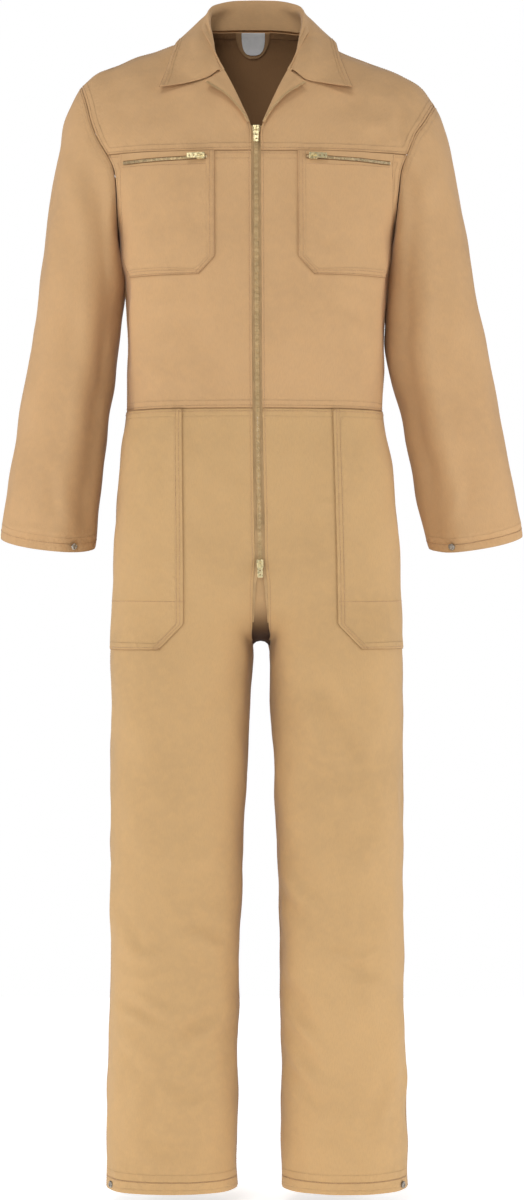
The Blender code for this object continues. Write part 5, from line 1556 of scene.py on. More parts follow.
@dataclass(frozen=True)
class Satin(Finish):
    """Smooth woven label cloth with a soft gloss."""

    def inputs(self, tree: NodeTree, place: Socket) -> Inputs:
        """The shader's inputs."""
        threads = tree.bands(place, 0.0004, "Z", {"Distortion": 0.3})
        soft = tree.ramp(tree.noise(place, 0.008, 4.0), 0.3, 0.7, 0.0, 0.5)
        return {"Base Color": tree.tint(self.tone(1.0), soft, self.tone(0.86)),
                "Normal": tree.bump(threads, 0.00008), "Roughness": 0.5, "Sheen Weight": 0.1}


class Slot(Enum):
    """Names of material slots; pieces are handed one, but it is not used."""

    TWILL = "twill"
    TROUSERS = "twill_trousers"
    TAPE = "zip_tape"
    BRASS = "brass"
    LABEL = "label"


FINISHES = {
    "upper": Twill("twill_upper", linear_rgb(205, 165, 120)),
    "lower": Twill("twill_lower", linear_rgb(202, 165, 117)),
    # the cloth's reverse side, darker than its face: partly a duller reverse tone, partly painted
    # shade for the inside of the hollow garment
    "reverse_painted_shade": Twill("twill_reverse_painted_shade", linear_rgb(150, 112, 76), sheen=0.05),
    # the fly's strip darkens with painted shade towards the crotch
    "fly": Twill("twill_fly_painted_shade", linear_rgb(206, 168, 122), sheen=0.05, painted_shade=(-0.788, -0.732)),
    "patch": Twill("twill_patch", linear_rgb(176, 138, 99), sheen=0.05),
    "tape": Tape("zip_tape_weave", linear_rgb(214, 178, 130)),
    "pocket_tape": Tape("pocket_zip_tape", linear_rgb(158, 122, 82)),
    "coil": Tape("zip_coil", linear_rgb(214, 184, 136), rib=0.0012),
    "thread": Thread("topstitch_thread", linear_rgb(202, 160, 114)),
    "brass": Metal("brass_worn", linear_rgb(255, 238, 186), roughness=0.36, dulling=0.45),
    "teeth": Metal("brass_pale", linear_rgb(255, 236, 196), roughness=0.45, dulling=0.60),
    "steel": Metal("steel_worn", linear_rgb(176, 170, 160)),
    "label": Satin("label_satin", linear_rgb(250, 250, 249)),
}


class Wardrobe:
    """The made materials, each made once."""

    def __init__(self) -> None:
        self.made: dict[str, bpy.types.Material] = {}

    def __getitem__(self, key: str) -> bpy.types.Material:
        """The material of a finish."""
        if key not in self.made:
            self.made[key] = FINISHES[key].make()
        return self.made[key]


# -------------------- cloth pieces

class Edge(Enum):
    """A side of a cut piece in its grid: whether it is a column, and whether it is the last."""

    FIRST_ROW = (False, False)
    LAST_ROW = (False, True)
    FIRST_COLUMN = (True, False)
    LAST_COLUMN = (True, True)


def link(name: str, data: bpy.types.ID) -> bpy.types.Object:
    """A new object in the scene."""
    made = bpy.data.objects.new(name, data)
    bpy.context.scene.collection.objects.link(made)
    return made


@dataclass(frozen=True)
class Shell:
    """A thin closed shell between two heights over a surface.

    Args:
        low: Height of the inside.
        high: Height of the outside.
        seams: Edges with a stitched band, each with the distance at which its band starts.
        round_over: How far the outside drops at the rim.
        tuck: How far the inside's rim is drawn in.
        sharp: Angle in degrees past which an edge stays sharp.
    """

    low: float = -0.0015
    high: float = 0.0
    seams: tuple[tuple[Edge, float], ...] = ()
    round_over: float = 0.0004
    tuck: float = 0.0006
    sharp: float = 62.0

    def edge_distance(self, points: np.ndarray) -> np.ndarray:
        """Distance of each point to the nearest stitched edge."""
        nearest = np.full(points.shape[:2], 1.0)
        for edge, offset in self.seams:
            is_column, is_last = edge.value
            turned = points.transpose(1, 0, 2) if is_column else points
            turned = turned[::-1] if is_last else turned
            steps = gaps(turned)
            away = np.concatenate((np.zeros((1, steps.shape[1])), np.cumsum(steps, axis=0)))
            away = away[::-1] if is_last else away
            nearest = np.minimum(nearest, np.abs((away.T if is_column else away) - offset))
        return nearest

    def cells(self, surface: Surface, keep: np.ndarray | None) -> np.ndarray:
        """The surface's cells, each as four corners that turn round its outside.

        Args:
            surface: The surface.
            keep: Which cells to keep.

        Returns:
            Indices of the corners of each cell.
        """
        rows, columns = surface.points.shape[:2]
        wide = columns if surface.wraps else columns - 1
        index = np.arange(rows * columns).reshape(rows, columns)
        if surface.wraps:
            index = np.concatenate((index, index[:, :1]), axis=1)
        cells = np.stack((index[:-1, :wide], index[:-1, 1:wide + 1], index[1:, 1:wide + 1],
                          index[1:, :wide]), axis=2)
        cells = (cells if keep is None else cells[keep]).reshape(-1, 4)
        one = cells[len(cells) // 2]
        corners = surface.points.reshape(-1, 3)[one]
        facing = np.cross(corners[1] - corners[0], corners[3] - corners[0])
        outward = np.dot(facing, surface.normals.reshape(-1, 3)[one[0]]) >= 0
        return cells if outward else cells[:, ::-1]

    def build(self, name: str, surface: Surface, outside: bpy.types.Material,
              inside: bpy.types.Material, hem: np.ndarray | None = None,
              keep: np.ndarray | None = None) -> bpy.types.Object:
        """Make the shell as an object.

        Args:
            name: The piece's name.
            surface: The surface it lies on.
            outside: Finish of the outside and the rims.
            inside: Finish of the inside.
            hem: Extra thickness inwards at each point.
            keep: Which cells to keep.

        Returns:
            The object.
        """
        cells = self.cells(surface, keep)
        flat, up = surface.points.reshape(-1, 3), surface.normals.reshape(-1, 3)
        total = len(flat)
        starts, ends = cells.reshape(-1), np.roll(cells, -1, axis=1).reshape(-1)
        on_rim = ~np.isin(starts * total + ends, ends * total + starts)
        rim = np.stack((starts[on_rim], ends[on_rim]), axis=1)
        around = np.unique(rim)
        high, low = np.full(total, self.high), np.full(total, self.low)
        high[around] -= self.round_over
        if hem is not None:
            low -= hem.reshape(-1)
        upper, lower = flat + up * high[:, None], flat + up * low[:, None]
        middles, count = np.zeros((total, 3)), np.zeros(total)
        for corner in range(4):
            np.add.at(middles, cells[:, corner], flat[cells].mean(axis=1))
            np.add.at(count, cells[:, corner], 1)
        inward = middles[around] / count[around][:, None] - flat[around]
        inward /= np.maximum(np.linalg.norm(inward, axis=1), 1e-9)[:, None]
        lower[around] += inward * self.tuck
        used = np.unique(cells)
        renumber = np.full(total, -1)
        renumber[used] = np.arange(len(used))
        cells, (left, right) = renumber[cells], renumber[rim].T
        half = len(used)
        faces = np.concatenate((cells, cells[:, ::-1] + half,
                                np.stack((right, left, left + half, right + half), axis=1)))
        mesh = bpy.data.meshes.new(name)
        mesh.from_pydata(np.concatenate((upper[used], lower[used])).tolist(), [],
                         faces.tolist())
        mesh.materials.append(outside)
        mesh.materials.append(inside)
        slots = np.zeros(len(faces), dtype=np.int32)
        slots[len(cells):2 * len(cells)] = 1
        mesh.polygons.foreach_set("material_index", slots)
        layer = mesh.uv_layers.new(name="pattern")
        corners = np.zeros(len(mesh.loops), dtype=np.int32)
        mesh.loops.foreach_get("vertex_index", corners)
        place = np.tile(surface.pattern.reshape(-1, 2)[used], (2, 1))
        layer.data.foreach_set("uv", place[corners].astype(np.float32).reshape(-1))
        edge = mesh.attributes.new("edge", "FLOAT", "POINT")
        away = np.tile(self.edge_distance(surface.points).reshape(-1)[used], 2)
        edge.data.foreach_set("value", away.astype(np.float32))
        mesh.shade_smooth()
        mesh.set_sharp_from_angle(angle=math.radians(self.sharp))
        mesh.update()
        return link(name, mesh)


def declare(piece: bpy.types.Object, nodes: Sequence[str]) -> None:
    """Set a piece on the body, hide the CAD parts that it stands for and log its triangles."""
    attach(piece, BODY)
    if nodes:
        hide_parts(*nodes)
    LOG.info("%s: %d triangles", piece.name,
             sum(len(face.vertices) - 2 for face in piece.data.polygons))


def cloth_sheet(surface: Surface) -> None:
    """Work out the area of each of a surface's cells; the areas are not used."""
    around = surface.points
    if surface.wraps:
        around = np.concatenate((around, around[:, :1]), axis=1)
    down, across = gaps(around, 0), gaps(around, 1)
    cells = (down[:, :-1] + down[:, 1:]) / 2 * (across[:-1] + across[1:]) / 2


# -------------------- repeats

@dataclass(frozen=True)
class Repeat:
    """A small bent rod that Geometry Nodes sets on many points.

    Args:
        name: Name of the node group.
        length: Length of one rod.
        width: Its thickness.
        rise: How far its middle stands above its ends.
        uneven: Share by which its size varies.
        seed: Seed of that variation.
        sharp: Angle in degrees past which an edge stays sharp.
    """

    name: str
    length: float
    width: float
    rise: float
    uneven: float = 0.10
    seed: int = 5
    sharp: float = 75.0

    def group(self) -> bpy.types.NodeTree:
        """The node group."""
        group = bpy.data.node_groups.new(self.name, "GeometryNodeTree")
        face = group.interface
        face.new_socket("Geometry", in_out="INPUT", socket_type="NodeSocketGeometry")
        for label in ("Length", "Width", "Rise", "Uneven"):
            face.new_socket(label, in_out="INPUT", socket_type="NodeSocketFloat")
        face.new_socket("Seed", in_out="INPUT", socket_type="NodeSocketInt")
        face.new_socket("Material", in_out="INPUT", socket_type="NodeSocketMaterial")
        face.new_socket("Geometry", in_out="OUTPUT", socket_type="NodeSocketGeometry")
        tree = NodeTree(group)
        given = tree.add("NodeGroupInput").outputs
        half = tree.product(given["Length"], 0.5)
        start = tree.add("ShaderNodeCombineXYZ", {0: tree.product(half, -1.0)})
        end = tree.add("ShaderNodeCombineXYZ", {0: half})
        top = tree.add("ShaderNodeCombineXYZ", {2: tree.product(given["Rise"], 2.0)})
        curve = tree.add("GeometryNodeCurveQuadraticBezier", {
            "Resolution": 3, "Start": start, "Middle": top, "End": end})
        ring = tree.add("GeometryNodeCurvePrimitiveCircle", {
            "Resolution": 4, "Radius": tree.product(given["Width"], 0.5)})
        rod = tree.add("GeometryNodeCurveToMesh", {"Curve": curve, "Profile Curve": ring,
                                                   "Fill Caps": True})
        turn = tree.add("GeometryNodeInputNamedAttribute", {"Name": "turn"},
                        data_type="FLOAT_VECTOR")
        turn = tree.add("FunctionNodeEulerToRotation", {0: turn.outputs["Attribute"]})
        small = tree.maths("SUBTRACT", 1.0, given["Uneven"])
        large = tree.maths("ADD", 1.0, given["Uneven"])
        size = tree.add("FunctionNodeRandomValue", {2: small, 3: large, "Seed": given["Seed"]},
                        data_type="FLOAT")
        points = tree.add("GeometryNodeMeshToPoints", {"Mesh": given["Geometry"]})
        placed = tree.add("GeometryNodeInstanceOnPoints", {
            "Points": points, "Instance": rod, "Rotation": turn, "Scale": size.outputs[1]})
        real = tree.add("GeometryNodeRealizeInstances", {"Geometry": placed})
        dressed = tree.add("GeometryNodeSetMaterial", {"Geometry": real,
                                                       "Material": given["Material"]})
        tree.add("NodeGroupOutput", {0: dressed})
        return group

    def build(self, name: str, places: np.ndarray, turns: np.ndarray,
              material: bpy.types.Material) -> bpy.types.Object:
        """Set the rod on points.

        Args:
            name: The piece's name.
            places: The points.
            turns: Euler angles at each point.
            material: The rods' finish.

        Returns:
            A plain mesh object with every rod in it.
        """
        carrier = bpy.data.meshes.new(name + "_points")
        carrier.from_pydata(places.tolist(), [], [])
        turn = carrier.attributes.new("turn", "FLOAT_VECTOR", "POINT")
        turn.data.foreach_set("vector", turns.astype(np.float32).reshape(-1))
        holder = link(name + "_points", carrier)
        group = self.group()
        modifier = holder.modifiers.new("repeat", "NODES")
        modifier.node_group = group
        values = {"Length": self.length, "Width": self.width, "Rise": self.rise,
                  "Uneven": self.uneven, "Seed": self.seed, "Material": material}
        for item in group.interface.items_tree:
            if item.in_out == "INPUT" and item.name in values:
                modifier[item.identifier] = values[item.name]
        bpy.context.view_layer.update()
        seen = holder.evaluated_get(bpy.context.evaluated_depsgraph_get())
        mesh = bpy.data.meshes.new_from_object(seen)
        mesh.name = name
        mesh.shade_smooth()
        mesh.set_sharp_from_angle(angle=math.radians(self.sharp))
        holder.modifiers.clear()
        bpy.data.objects.remove(holder)
        bpy.data.meshes.remove(carrier)
        return link(name, mesh)


@dataclass
class Seams:
    """Lines of stitches, gathered by the piece of sewing they belong to.

    Args:
        pitch: Distance from one stitch to the next.
        across: Whether what is set there lies across the line.
        lines: Points and normals of each line.
    """

    pitch: float = 0.0032
    across: bool = False
    lines: dict[str, list[np.ndarray]] = field(default_factory=dict)

    def add(self, name: str, *paths: np.ndarray) -> None:
        """Add lines to a piece of sewing."""
        self.lines.setdefault(name, []).extend(paths)

    def spaced(self, path: np.ndarray) -> tuple[np.ndarray, np.ndarray]:
        """Even places along a line, and the Euler angles of what is set there."""
        along = running(gaps(path[:, :3]))
        at = np.arange(self.pitch / 2, along[-1], self.pitch)
        ahead = np.minimum(at + self.pitch * 0.3, along[-1])
        behind = np.maximum(at - self.pitch * 0.3, 0.0)
        places, up = np.split(read(at, along, path), 2, axis=1)
        forward = (read(ahead, along, path) - read(behind, along, path))[:, :3]
        turns = []
        for i in range(len(at)):
            x_axis = Vector(forward[i]).normalized()
            z_axis = Vector(up[i])
            y_axis = z_axis.cross(x_axis).normalized()
            z_axis = x_axis.cross(y_axis)
            if self.across:
                x_axis, y_axis = y_axis, -x_axis
            turns.append(Matrix((x_axis, y_axis, z_axis)).transposed().to_euler()[:])
        return places, np.array(turns).reshape(-1, 3)

    def build(self, repeat: Repeat, material: bpy.types.Material, slot: Slot,
              nodes: dict[str, Sequence[str]] | None = None) -> None:
        """Make each piece of sewing as one object.

        Args:
            repeat: What is set along the lines.
            material: Its finish.
            slot: Its material slot; not used.
            nodes: The nodes that each piece stands for, by its name.
        """
        for name, paths in self.lines.items():
            made = [self.spaced(path) for path in paths]
            places = np.concatenate([row[0] for row in made])
            turns = np.concatenate([row[1] for row in made])
            piece = repeat.build(name, places, turns, material)
            declare(piece, (nodes or {}).get(name, ()))


# -------------------- the garment

# Half width and height in tenths of a millimetre, then x and z of the crest's points in
# millimetres
CREASE_ROWS = {
    Face.FRONT: (
        # sleeves, front: the side next to the trunk falls back
        (170, -100, -208, -165, -195, -253, -191, -340, -195, -405, -205, -470, -217, -556,
         -224, -622, -238, -740),
        (170, -100, 197, -180, 192, -253, 192, -340, 191, -405, 201, -470, 220, -556, 231,
         -622, 248, -740), (150, -34, -247, -135, -224, -185, -205, -240),
        (150, -22, 262, -170, 243, -215, 222, -250), (80, 16, -262, -560, -256, -600, -248, -636),
        (80, 18, 268, -575, 262, -612, 252, -640),
        # trousers, left front
        (150, -42, 56, -825, 99, -890, 143, -977), (130, 30, 91, -816, 126, -877, 156, -933),
        (120, -28, 65, -972, 108, -964, 143, -985), (100, 34, 32, -1090, 56, -1124, 73, -1137),
        (90, -26, 30, -1120, 52, -1150, 73, -1159), (110, -26, 91, -1059, 108, -1090, 117, -1129),
        (50, 26, 91, -1196, 117, -1205, 136, -1208, 158, -1197),
        (90, -26, 99, -1183, 139, -1224, 169, -1228), (90, 30, 37, -1218, 73, -1250, 99, -1280),
        (80, -36, 41, -1250, 60, -1280, 78, -1298), (80, -34, 37, -1300, 60, -1328, 73, -1354),
        (80, 26, 41, -1280, 78, -1317, 95, -1354), (80, -34, 39, -1350, 65, -1385, 84, -1400),
        (90, 24, 47, -1337, 82, -1372, 117, -1385), (110, -30, 73, -1441, 104, -1434, 132, -1467),
        (110, 30, 188, -1263, 178, -1346, 152, -1445),
        (90, -26, 178, -1324, 165, -1385, 143, -1432), (80, -20, 47, -1432, 56, -1467, 50, -1497),
        # trousers, right front
        (140, -24, -13, -821, -39, -855, -74, -903),
        (110, -26, -24, -1046, -52, -1090, -96, -1103),
        (100, -40, -100, -1157, -70, -1159, -37, -1183),
        (100, 26, -104, -1181, -74, -1183, -44, -1207),
        (90, 26, -182, -1155, -161, -1207, -126, -1209),
        (90, -24, -178, -1207, -143, -1218, -113, -1207),
        (80, -32, -185, -1261, -152, -1272, -122, -1289),
        (80, 22, -156, -1259, -126, -1276, -96, -1283),
        (90, -36, -107, -1309, -78, -1293, -59, -1278),
        (100, 34, -102, -1332, -65, -1304, -31, -1276),
        (90, -32, -120, -1363, -87, -1385, -59, -1374),
        (100, 22, -178, -1302, -148, -1337, -130, -1354),
        (110, -28, -152, -1428, -122, -1458, -83, -1460),
        (70, -20, -55, -1352, -42, -1341, -28, -1332),
        (110, 20, -152, -1372, -156, -1411, -178, -1441),
        # hips
        (45, 12, 78, -612, 88, -613, 100, -612), (140, -18, 43, -574, 62, -610, 66, -650),
        (130, 16, -75, -560, -40, -590, -14, -616),
        # bodice, front
        (60, -24, 56, -338, 64, -353, 72, -372), (100, 26, 93, -329, 121, -346, 151, -364),
        (100, -22, 104, -340, 125, -357, 156, -379), (140, -22, -160, -375, -117, -380, -74, -368),
        (130, 18, -156, -427, -126, -446, -91, -452), (90, -20, 82, -262, 93, -273, 108, -279),
        (120, 14, -130, -279, -100, -262, -74, -266), (130, -30, 104, -93, 138, -89, 177, -102),
        (80, -26, 182, -89, 189, -119, 188, -147), (130, -18, -191, -89, -169, -106, -165, -132),
    ),
    Face.BACK: (
        # trousers, back
        (160, 48, -160, -1020, -110, -1060, -50, -1070),
        (150, 46, 160, -1030, 115, -1075, 55, -1085),
        (150, 40, -150, -1130, -100, -1160, -55, -1150),
        (140, 38, 155, -1140, 100, -1175, 60, -1170), (160, 44, -10, -760, -60, -810, -120, -830),
        (150, 42, 12, -762, 65, -815, 125, -840), (170, 28, -80, -1280, -95, -1380, -85, -1460),
        (160, 28, 85, -1270, 100, -1360, 95, -1450),
        # bodice, back
        (180, 36, -110, -120, -90, -220, -60, -300), (170, 36, 115, -115, 95, -210, 70, -290),
        (160, 36, -130, -380, 0, -405, 120, -390), (120, 28, -120, -450, -20, -458, 100, -448),
        # sleeves, back
        (130, 42, -305, -375, -255, -395, -200, -380),
        (120, 36, -308, -450, -260, -440, -210, -455), (130, 42, 308, -380, 255, -402, 195, -388),
        (120, 36, 318, -455, 265, -446, 212, -460),
    ),
}
CREASES = tuple(Crease.of(face, row) for face, rows in CREASE_ROWS.items() for row in rows)

STITCH_INSET = 0.0036
EDGE_INSET = 0.0027
RISE_INSET = 0.0030
HEM_TURN = 0.0012
ENDS = ((Edge.FIRST_ROW, 0.0), (Edge.LAST_ROW, 0.0))
OUTER = ((Edge.LAST_COLUMN, 0.0),)
INNER = ((Edge.FIRST_COLUMN, 0.0),)


@dataclass
class Garment:
    """Everything that the garment's pieces share.

    Args:
        creasing: The creases laid on every piece.
        finishes: The made materials.
        seams: The stitches, gathered while pieces are made.
        surfaces: The made surfaces by name.
    """

    creasing: Creasing = field(default_factory=lambda: Creasing(CREASES))
    finishes: Wardrobe = field(default_factory=Wardrobe)
    seams: Seams = field(default_factory=Seams)
    surfaces: dict[str, Surface] = field(default_factory=dict)

    def __post_init__(self) -> None:
        """Make the cuts."""
        self.trunk = Trunk()
        self.sleeve = SleeveCut(self.trunk)
        self.legs = LegCut(self.trunk)
        self.collar = CollarCut(self.trunk)
        self.zip = ZipCut(self.trunk)

    def surface(self, name: str, make: Callable[[], np.ndarray],
                outward: Sequence[float] | None = None, wraps: bool = False,
                relax: int | None = None) -> Surface:
        """A cut's creased surface, made once.

        Args:
            name: Its name.
            make: What makes the cut's grid.
            outward: A direction on the outside.
            wraps: Whether each row is a closed ring.
            relax: The cut's row near which the cloth is evened out.

        Returns:
            The surface.
        """
        if name not in self.surfaces:
            plain = Surface.refined(make(), outward, wraps)
            if relax is not None:
                plain = plain.relaxed(relax)
            self.surfaces[name] = plain.creased(self.creasing)
        return self.surfaces[name]

    def front(self, side: Side) -> Surface:
        """A front below the yoke."""
        return self.surface(f"front_{side.word}", lambda: self.trunk.front(side),
                            (side * 0.3, -1, 0))

    def leg(self, side: Side, face: Face) -> Surface:
        """A front or back of the trousers."""
        return self.surface(f"leg_{face.name}_{side.word}", lambda: self.legs.grid(side, face),
                            (0, face, 0), relax=CROTCH_ROW - 1)

    def facing(self, side: Side) -> Surface:
        """A turned-back facing."""
        return Surface.refined(self.collar.facing(side), (0, -1, 0), step=0.0030)

    def sew(self, name: str, surface: Surface, shell: Shell, slot: Slot, nodes: Sequence[str],
            outside: str = "upper", inside: str | None = None,
            **details: np.ndarray) -> None:
        """Args:
            name: The piece's name.
            surface: The surface it lies on.
            shell: Its thickness and seams.
            slot: Its material slot; not used.
            nodes: The nodes it stands for.
            outside: Finish of the outside.
            inside: Finish of the inside, where it is another one.
            **details: Its hem and the cells to keep.
        """
        piece = shell.build(name, surface, self.finishes[outside],
                            self.finishes[inside or outside], **details)
        declare(piece, nodes)
        cloth_sheet(surface)


@dataclass
class BodicePanels:
    """Fronts, yokes and back above the waist seam."""

    garment: Garment

    def build(self) -> None:
        """Make the panels and their seams."""
        for side in Side:
            self.front(side)
            self.yoke(side)
        self.back()

    def front(self, side: Side) -> None:
        """A front below the yoke."""
        g = self.garment
        surface = g.front(side)
        g.sew(f"front_panel_{side.word}", surface, Shell(seams=ENDS + OUTER), Slot.TWILL,
              (f"front_{side.word}",), inside="reverse_painted_shade")
        g.seams.add("stitches_waist_front", surface.line(row=0, inset=STITCH_INSET))
        g.seams.add("stitches_yoke", surface.line(row=-1, inset=STITCH_INSET))
        g.seams.add("stitches_zip_edges", surface.line(column=0, inset=EDGE_INSET))
        g.seams.add("stitches_bodice_sides",
                    surface.line(column=-1, inset=STITCH_INSET, trim=(0, UNDERARM_ROW)))
        g.seams.add("stitches_armholes",
                    surface.line(column=-1, inset=STITCH_INSET, trim=(UNDERARM_ROW, -1)))

    def yoke(self, side: Side) -> None:
        """The front yoke over the chest."""
        g = self.garment
        surface = g.surface(f"yoke_{side.word}", lambda: g.trunk.yoke(side),
                            (side * 0.3, -1, 0.3))
        g.sew(f"yoke_panel_{side.word}", surface, Shell(seams=ENDS + OUTER), Slot.TWILL,
              (f"front_yoke_{side.word}",), inside="reverse_painted_shade")
        g.seams.add("stitches_yoke", *(surface.line(row=row, inset=STITCH_INSET)
                                       for row in (0, -1)))
        g.seams.add("stitches_armholes", surface.line(column=-1, inset=STITCH_INSET))
        g.seams.add("stitches_zip_edges", surface.line(column=0, inset=EDGE_INSET, trim=(0, 2)))

    def back(self) -> None:
        """The back, one piece from waist to shoulders."""
        g = self.garment
        surface = g.surface("back", g.trunk.back, (0, 1, 0))
        g.sew("back_panel", surface, Shell(seams=ENDS + INNER + OUTER), Slot.TWILL, ("back",),
              inside="reverse_painted_shade")
        g.seams.add("stitches_back", *(surface.line(**line, inset=STITCH_INSET) for line in (
            {"row": 0}, {"column": 0}, {"column": -1}, {"row": -1})))


@dataclass
class Sleeves:
    """Both sleeves with their turned-up hems."""

    garment: Garment
    hem_stitch: float = 0.0108

    def build(self) -> None:
        """Make both sleeves."""
        g = self.garment
        for side in Side:
            surface = g.surface(f"sleeve_{side.word}", lambda: g.sleeve.grid(side), wraps=True)
            hem = np.zeros(surface.points.shape[:2])
            hem[surface.rows[-2]:] = HEM_TURN
            g.sew(f"sleeve_{side.word}", surface,
                  Shell(seams=(ENDS[0], (Edge.LAST_ROW, self.hem_stitch))), Slot.TWILL,
                  (f"sleeve_front_{side.word}", f"sleeve_back_{side.word}"),
                  inside="reverse_painted_shade", hem=hem)
            g.seams.add("stitches_armholes", surface.line(row=0, inset=STITCH_INSET))
            g.seams.add("stitches_cuffs", surface.line(row=-1, inset=self.hem_stitch))


@dataclass
class Trousers:
    """Fronts and backs of both legs."""

    garment: Garment

    def build(self) -> None:
        """Make the four leg panels and their seams."""
        for side in Side:
            for face in Face:
                self.panel(side, face)

    def panel(self, side: Side, face: Face) -> None:
        """One leg panel."""
        g = self.garment
        surface = g.leg(side, face)
        seams = (ENDS[0], (Edge.LAST_ROW, HEM_DEPTH)) + INNER
        hem = np.zeros(surface.points.shape[:2])
        hem[surface.rows[-2]:] = HEM_TURN
        word = face.name.lower()
        g.sew(f"leg_{word}_panel_{side.word}", surface,
              Shell(seams=seams + (OUTER if face is Face.BACK else ())), Slot.TROUSERS,
              (f"leg_{word}_{side.word}",), "lower", "reverse_painted_shade", hem=hem)
        for name, line in (
                ("waist", {"row": 0, "inset": STITCH_INSET}),
                ("leg_sides", {"column": 0, "inset": STITCH_INSET}),
                ("inseams", {"column": -1, "inset": STITCH_INSET, "trim": (CROTCH_ROW, -1)}),
                ("rise", {"column": -1, "inset": RISE_INSET, "trim": (0, CROTCH_ROW)}),
                ("leg_hems", {"row": -3})):
            g.seams.add(f"stitches_{name}_{word}", surface.line(**line))


@dataclass
class CollarAndFacings:
    """The turned-down collar and the fronts laid open below it."""

    garment: Garment

    def build(self) -> None:
        """Make the collar, the facings and the zip's open halves on them."""
        g = self.garment
        surface = Surface.refined(g.collar.grid(), None, step=0.0040)
        g.sew("collar_shell", surface, Shell(low=-0.0008, high=0.0010, seams=OUTER,
                                             round_over=0.0006), Slot.TWILL, ("collar",))
        g.seams.add("stitches_collar", surface.line(column=-1, inset=0.0055, lift=0.0010))
        for side in Side:
            surface = g.facing(side)
            g.sew(f"facing_panel_{side.word}", surface, Shell(low=0.0, high=0.0014), Slot.TWILL,
                  (f"facing_{side.word}",))
            g.sew(f"open_tape_{side.word}", surface.cut((0, len(TURN_BACK) - 1), (2, 4)),
                  Shell(low=0.0018, high=0.0025), Slot.TAPE, (f"zip_tape_top_{side.word}",))


@dataclass
class ChestPockets:
    """Chest patch pockets with a zip under the yoke.

    Args:
        garment: The garment they are sewn to.
        low: Height of the patch's inside above the front.
        high: Height of its outside.
        slope: Distance of the zip from the yoke seam, at its inner and its outer end.
        opening: Width of the gap in which the zip shows.
        insets: Distance of its two rows of stitches from its edges.
    """

    garment: Garment
    low: float = 0.0003
    high: float = 0.0016
    slope: tuple[float, float] = (0.0080, 0.0125)
    opening: float = 0.0060
    insets: tuple[float, float] = (0.0022, 0.0068)

    def zip_line(self, window: Surface, offset: float = 0.0) -> np.ndarray:
        """The line of a pocket's zip below the yoke seam.

        Args:
            window: The strip of the front that the zip lies in.
            offset: Distance above the line.

        Returns:
            Points along the line, their normals and places on the flat cloth.
        """
        layers = window.layers[::-1].transpose(1, 0, 2)
        line = []
        for share, strip in zip(np.linspace(0.0, 1.0, len(layers)), layers):
            deep = running(gaps(strip[:, :3]))
            at = min(mix(*self.slope, share) - offset, deep[-1] - 0.0002)
            line.append(read(at, deep, strip))
        return np.array(line)

    def narrow(self, patch: Surface) -> Surface:
        """The patch with its rows beside the zip moved close to it."""
        first, last = patch.rows[-2] + 1, patch.rows[-1] - 1
        left, right = patch.columns[1], patch.columns[5]
        window, layers = patch.cut((5, 6), (1, 5)), patch.layers
        for row, offset in ((first, -self.opening / 2), (last, self.opening / 2)):
            layers[row, left:right + 1] = self.zip_line(window, offset)
        for row in range(first + 1, last):
            layers[row] = mix(layers[first], layers[last], (row - first) / (last - first))
        return Surface.of_layers(layers, patch.rows, patch.columns)

    def build(self) -> None:
        """Make both pockets with their zips' tape."""
        g, lift, insets = self.garment, self.high, self.insets
        for side in Side:
            whole = g.front(side)
            marks = whole.columns[CHEST_POCKET_COLUMNS[0]:CHEST_POCKET_COLUMNS[1] + 1]
            patch = self.narrow(whole.between(
                CHEST_POCKET_ROWS, whole.crossing(CHEST_POCKET_IN),
                np.full(len(whole.points), marks[-1]), [mark - marks[0] for mark in marks]))
            keep = np.ones((patch.points.shape[0] - 1, patch.points.shape[1] - 1), dtype=bool)
            keep[patch.rows[-2] + 1:patch.rows[-1] - 1, patch.columns[1]:patch.columns[5]] = False
            g.sew(f"chest_patch_{side.word}", patch,
                  Shell(self.low, self.high, seams=INNER + ENDS[:1]), Slot.TWILL,
                  (f"chest_pocket_{side.word}",), inside="reverse_painted_shade", keep=keep)
            g.seams.add(f"stitches_chest_pocket_{side.word}",
                        *(patch.line(column=0, inset=inset, lift=lift) for inset in insets),
                        *(patch.line(row=0, inset=inset, lift=lift) for inset in insets),
                        patch.line(column=-1, inset=insets[0], lift=lift),
                        patch.line(row=-2, inset=insets[0], trim=(1, 5), lift=lift))
            g.sew(f"chest_tape_{side.word}", whole.cut(*CHEST_ZIP_WINDOW),
                  Shell(self.low, 0.0010), Slot.TAPE, (f"chest_zip_tape_{side.word}",),
                  "pocket_tape")


@dataclass
class HipPockets:
    """Long patch pockets from the waist seam to the thigh.

    Args:
        garment: The garment they are sewn to.
        low: Height of the patch's inside above the leg.
        high: Height of its outside.
        insets: Distance of its two rows of stitches from its inner edge.
        bar_row: The row with stitches all across the patch.
    """

    garment: Garment
    low: float = 0.0003
    high: float = 0.0017
    insets: tuple[float, float] = (0.0050, 0.0095)
    bar_row: int = 8

    def build(self) -> None:
        """Make both pockets."""
        g, lift = self.garment, self.high
        for side in Side:
            leg = g.leg(side, Face.FRONT)
            patch = leg.between((0, CROTCH_ROW), np.zeros(len(leg.points)),
                                leg.crossing(HIP_POCKET_IN), leg.columns[:len(POCKET_SHARES)])
            g.sew(f"hip_patch_{side.word}", patch, Shell(self.low, self.high, OUTER + ENDS),
                  Slot.TROUSERS, (f"hip_pocket_{side.word}",), "lower", "reverse_painted_shade")
            g.seams.add(f"stitches_hip_pocket_{side.word}",
                        *(patch.line(column=-1, inset=inset, lift=lift)
                          for inset in self.insets),
                        patch.line(row=0, inset=STITCH_INSET, lift=lift),
                        patch.line(row=-1, inset=RISE_INSET, lift=lift),
                        patch.line(row=self.bar_row, lift=lift))


